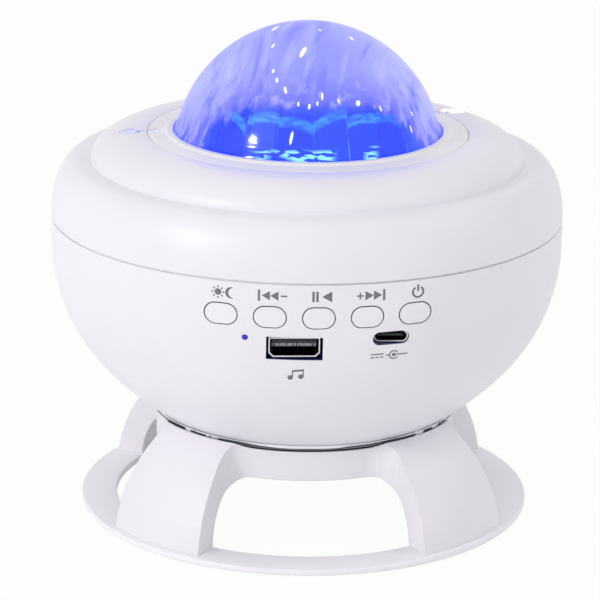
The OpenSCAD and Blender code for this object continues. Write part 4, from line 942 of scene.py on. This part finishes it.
signs = {"proud": 0.03, "thick": 0.02, "frontY": -72, "rows": {
    "buttons": {"z": 79.1, "blocks": [
        (-15.35, -1.45, -14.8, 1.45), (-9.65, -0.2, -8.0, 0.2), (-1.75, -1.35, -1.15, 1.35),
        (-0.75, -1.35, -0.15, 1.35), (9.5, -0.2, 11.2, 0.2), (10.15, 0.22, 10.55, 0.85),
        (10.15, -0.85, 10.55, -0.22), (16.15, -1.45, 16.7, 1.45), (24.97, 0.1, 25.43, 1.85)],
        "arrows": [(-14.4, -12.35, 1.2), (-12.3, -10.2, 1.2), (0.75, 3.25, 1.4),
                   (13.75, 11.65, 1.2), (15.9, 13.8, 1.2)],
        "discs": [(-25.3, 0, 0.85)], "rings": [(25.2, -0.1, 1.6, 1.12, 122, 418, 28)]},
    "sound": {"z": 57.4, "blocks": [(-6.5, -0.9, -6.2, 1.3), (-3.8, -0.55, -3.5, 1.65)],
              "discs": [(-6.9, -0.95, 0.7), (-4.2, -0.6, 0.7)]},
    "power": {"z": 62.4, "blocks": [
        (13.4, 0.3, 16.8, 0.62), (13.4, -0.62, 14.3, -0.3), (14.6, -0.62, 15.5, -0.3),
        (15.8, -0.62, 16.7, -0.3), (19.95, -0.16, 23.0, 0.16), (17.4, -0.16, 18.05, 0.16)],
        "discs": [(19.4, 0, 0.5)], "rings": [(19.4, 0, 1.3, 0.98, 35, 325, 24)]}},
    "sun": {"x": -25.3, "rays": 8, "ray": (1.15, 1.65, 0.17)},
    "moon": [(-22.0, 1.5, 1.5, 70, 290, 22), (-21.2, 1.55, 1.42, 248, 112, 18)],
    "beam": [(-6.5, 0.75), (-3.5, 1.1), (-3.5, 1.65), (-6.5, 1.3)]}


def disc(x, z, r, steps=20):
    return arc(x, z, r, r, 0, 360 - 360 / steps, steps - 1)


def rowShapes(z, blocks=(), arrows=(), discs=(), rings=()):
    shapes = [[(x0, z + z0), (x1, z + z0), (x1, z + z1), (x0, z + z1)] for x0, z0, x1, z1 in blocks]
    shapes += [[(tip, z), (back, z - half), (back, z + half)] for tip, back, half in arrows]
    shapes += [disc(x, z + up, r) for x, up, r in discs]
    shapes += [arc(x, z + up, outer, outer, start, end, steps)
               + arc(x, z + up, inner, inner, end, start, steps)
               for x, up, outer, inner, start, end, steps in rings]
    return shapes


def signShapes():
    rows = signs["rows"]
    shapes = [shape for row in rows.values() for shape in rowShapes(**row)]
    z = rows["buttons"]["z"]
    sun = Vector((signs["sun"]["x"], z))
    near, far, half = signs["sun"]["ray"]
    for k in range(signs["sun"]["rays"]):
        turn = math.tau * k / signs["sun"]["rays"]
        along = Vector((math.cos(turn), math.sin(turn)))
        across = Vector((-math.sin(turn), math.cos(turn)))
        shapes.append([tuple(sun + along * a + across * b)
                       for a, b in ((near, -half), (far, -half), (far, half), (near, half))])
    shapes.append([point for x, *rest in signs["moon"] for point in arc(x, z, *rest)])
    shapes.append([(x, rows["sound"]["z"] + up) for x, up in signs["beam"]])
    return shapes


pieces = []
for shape in signShapes():
    pieces.append(path("sign", [(x, signs["frontY"], z) for x, z in shape]))
    bpy.ops.mesh.edge_face_add()
    bpy.ops.mesh.quads_convert_to_tris()
    bpy.ops.mesh.subdivide(number_cuts=1)
    clearAll()
signPrint = joined("signPrint", pieces)
edit(signPrint)
bpy.ops.mesh.select_all(action="SELECT")
bpy.ops.mesh.normals_make_consistent(inside=False)
clearAll()
modified(signPrint, "SHRINKWRAP", target=lowerShell, wrap_method="PROJECT", use_project_y=True,
         use_project_x=False, use_project_z=False, use_negative_direction=False,
         use_positive_direction=True, wrap_mode="ABOVE_SURFACE", offset=signs["proud"] * mm)
modified(signPrint, "SOLIDIFY", thickness=signs["thick"] * mm, offset=0)
finished(signPrint, "head", "black_plastic", materials["printGrey"])
print("signs")


# pieces that keep the node of the part, by material

keys = ["lamp", "previous", "pause", "next", "power"]
kept = {
    "standWhite": ["stand_frame"], "padRubber": ["foot_pads"],
    "screwSteel": ["stand_screws", "shell_screws", "chassis_screws", "board_screws",
                   "speaker_screws"],
    "windowBlue": ["star_window_left"], "windowPaintedHighlight": ["star_window_right"],
    "windowPale": ["glow_windows"], "waveClear": ["wave_cup"], "innerPlastic": ["lamp_chassis"],
    "lensClear": ["condenser_lens"], "lampBoardWhite": ["lamp_board"], "lampLight": ["lamp_chips"],
    "sinkAluminium": ["heat_sink"], "motorSteel": ["gear_motor", "speaker_magnet"],
    "gearPlastic": ["motor_pinion"], "laserBrass": ["laser_left", "laser_right"],
    "gratingClear": ["grating_disc_left", "grating_disc_right"],
    "boardBlue": ["button_board", "main_board", "charge_board"],
    "blackPlastic": ["switch_bodies", "board_chips", "header_strip"]
                    + [key + "_plunger" for key in keys],
    "buttonWhite": [key + "_button" for key in keys],
    "indicatorLight": ["indicator_chip"], "pipeBlue": ["light_pipe"],
    "socketSteel": ["usb_shell", "typec_shell"], "tongueBlack": ["usb_tongue", "typec_tongue"],
    "speakerBlack": ["speaker_frame"], "conePaper": ["speaker_cone"],
    "leadRed": ["speaker_lead"], "leadYellow": ["motor_lead"], "leadBlue": ["lamp_lead"],
}
for name, plainNodes in kept.items():
    for key in plainNodes:
        nodes[key].data.materials.clear()
        nodes[key].data.materials.append(materials[name])
print("kept nodes", sum(len(plainNodes) for plainNodes in kept.values()))


# floor, world, lamps and camera; shade is how the world's strength falls towards the right

studio = {"floor": 16, "grain": (900, 2), "tone": (0.3, 0.7, 0.92, 0.96), "paleShare": 0.95,
          "shade": (0.0, 0.8, 0.68, 0.44), "tint": (0.98, 0.97, 1.0, 1), "aim": (0, 0, 0.07)}
lamps = {"key": ((-0.779, -0.581, 0.448), 0.11, 2.5), "front": ((0, -1, 0.2), 0.6, 0.55),
         "right": ((0.75, -0.2, 0.8), 0.7, 2.2), "left": ((-0.95, 0.15, 0.5), 0.6, 0.5)}
view = {"distance": 0.8232, "up": 17.478, "turn": 2.77, "roll": 0.75, "height": 0.05292,
        "lens": 179.38, "sensor": 36, "shift": (-0.0095, 0.0223)}


def seenRays(tree):
    rays = node(tree, "LightPath").outputs
    seen = maths(tree, "MAXIMUM", rays["Is Camera Ray"], rays["Is Glossy Ray"])
    return maths(tree, "MAXIMUM", seen, rays["Is Transmission Ray"])


def floorMaterial():
    material, tree = started("floorPale")
    grain = ranged(tree, noise(tree, *studio["grain"]), *studio["tone"])
    tone = node(tree, "CombineColor", {0: grain, 1: grain, 2: grain}).outputs[0]
    mat = shader(tree, "BsdfDiffuse", {"Color": tone})
    pale = shader(tree, "Emission", {"Color": (1, 1, 1, 1), "Strength": 1.0})
    closed(tree, mixed(tree, times(tree, seenRays(tree), studio["paleShare"]), mat, pale))
    return material


clearAll()
bpy.ops.mesh.primitive_plane_add(size=studio["floor"])
floor = named("floor")
floor.data.materials.append(floorMaterial())

world = bpy.data.worlds.new("studio")
bpy.context.scene.world = world
world.use_nodes = True
tree = world.node_tree
tree.nodes.clear()
level = eased(tree, axes(tree, "Generated")["X"], *studio["shade"])
dim = shader(tree, "Background", {"Color": studio["tint"], "Strength": level})
pale = shader(tree, "Background", {"Color": (1, 1, 1, 1), "Strength": 1.0})
node(tree, "OutputWorld", {"Surface": mixed(tree, seenRays(tree), dim, pale)})

for name, (place, size, power) in lamps.items():
    clearAll()
    bpy.ops.object.light_add(type="AREA", location=place)
    lamp = bpy.context.view_layer.objects.active
    lamp.name = name
    lamp.data.shape = "DISK"
    lamp.data.size = size
    lamp.data.energy = power
    lamp.visible_glossy = name == "key"
    aim = Vector(studio["aim"]) - Vector(place)
    lamp.rotation_euler = aim.to_track_quat("-Z", "Y").to_euler()

up, turn = math.radians(view["up"]), math.radians(view["turn"])
away = view["distance"] * math.cos(up)
eye = Vector((-math.sin(turn) * away, -math.cos(turn) * away,
              view["height"] + view["distance"] * math.sin(up)))
clearAll()
bpy.ops.object.camera_add(location=eye)
camera = bpy.context.view_layer.objects.active
look = (Vector((0, 0, view["height"])) - eye).to_track_quat("-Z", "Y")
look = look @ Quaternion((0, 0, 1), math.radians(view["roll"]))
camera.rotation_euler = look.to_euler()
camera.data.lens = view["lens"]
camera.data.sensor_width = view["sensor"]
camera.data.shift_x, camera.data.shift_y = view["shift"]
bpy.context.scene.camera = camera
bpy.context.scene.view_settings.view_transform = "Standard"

clearAll()
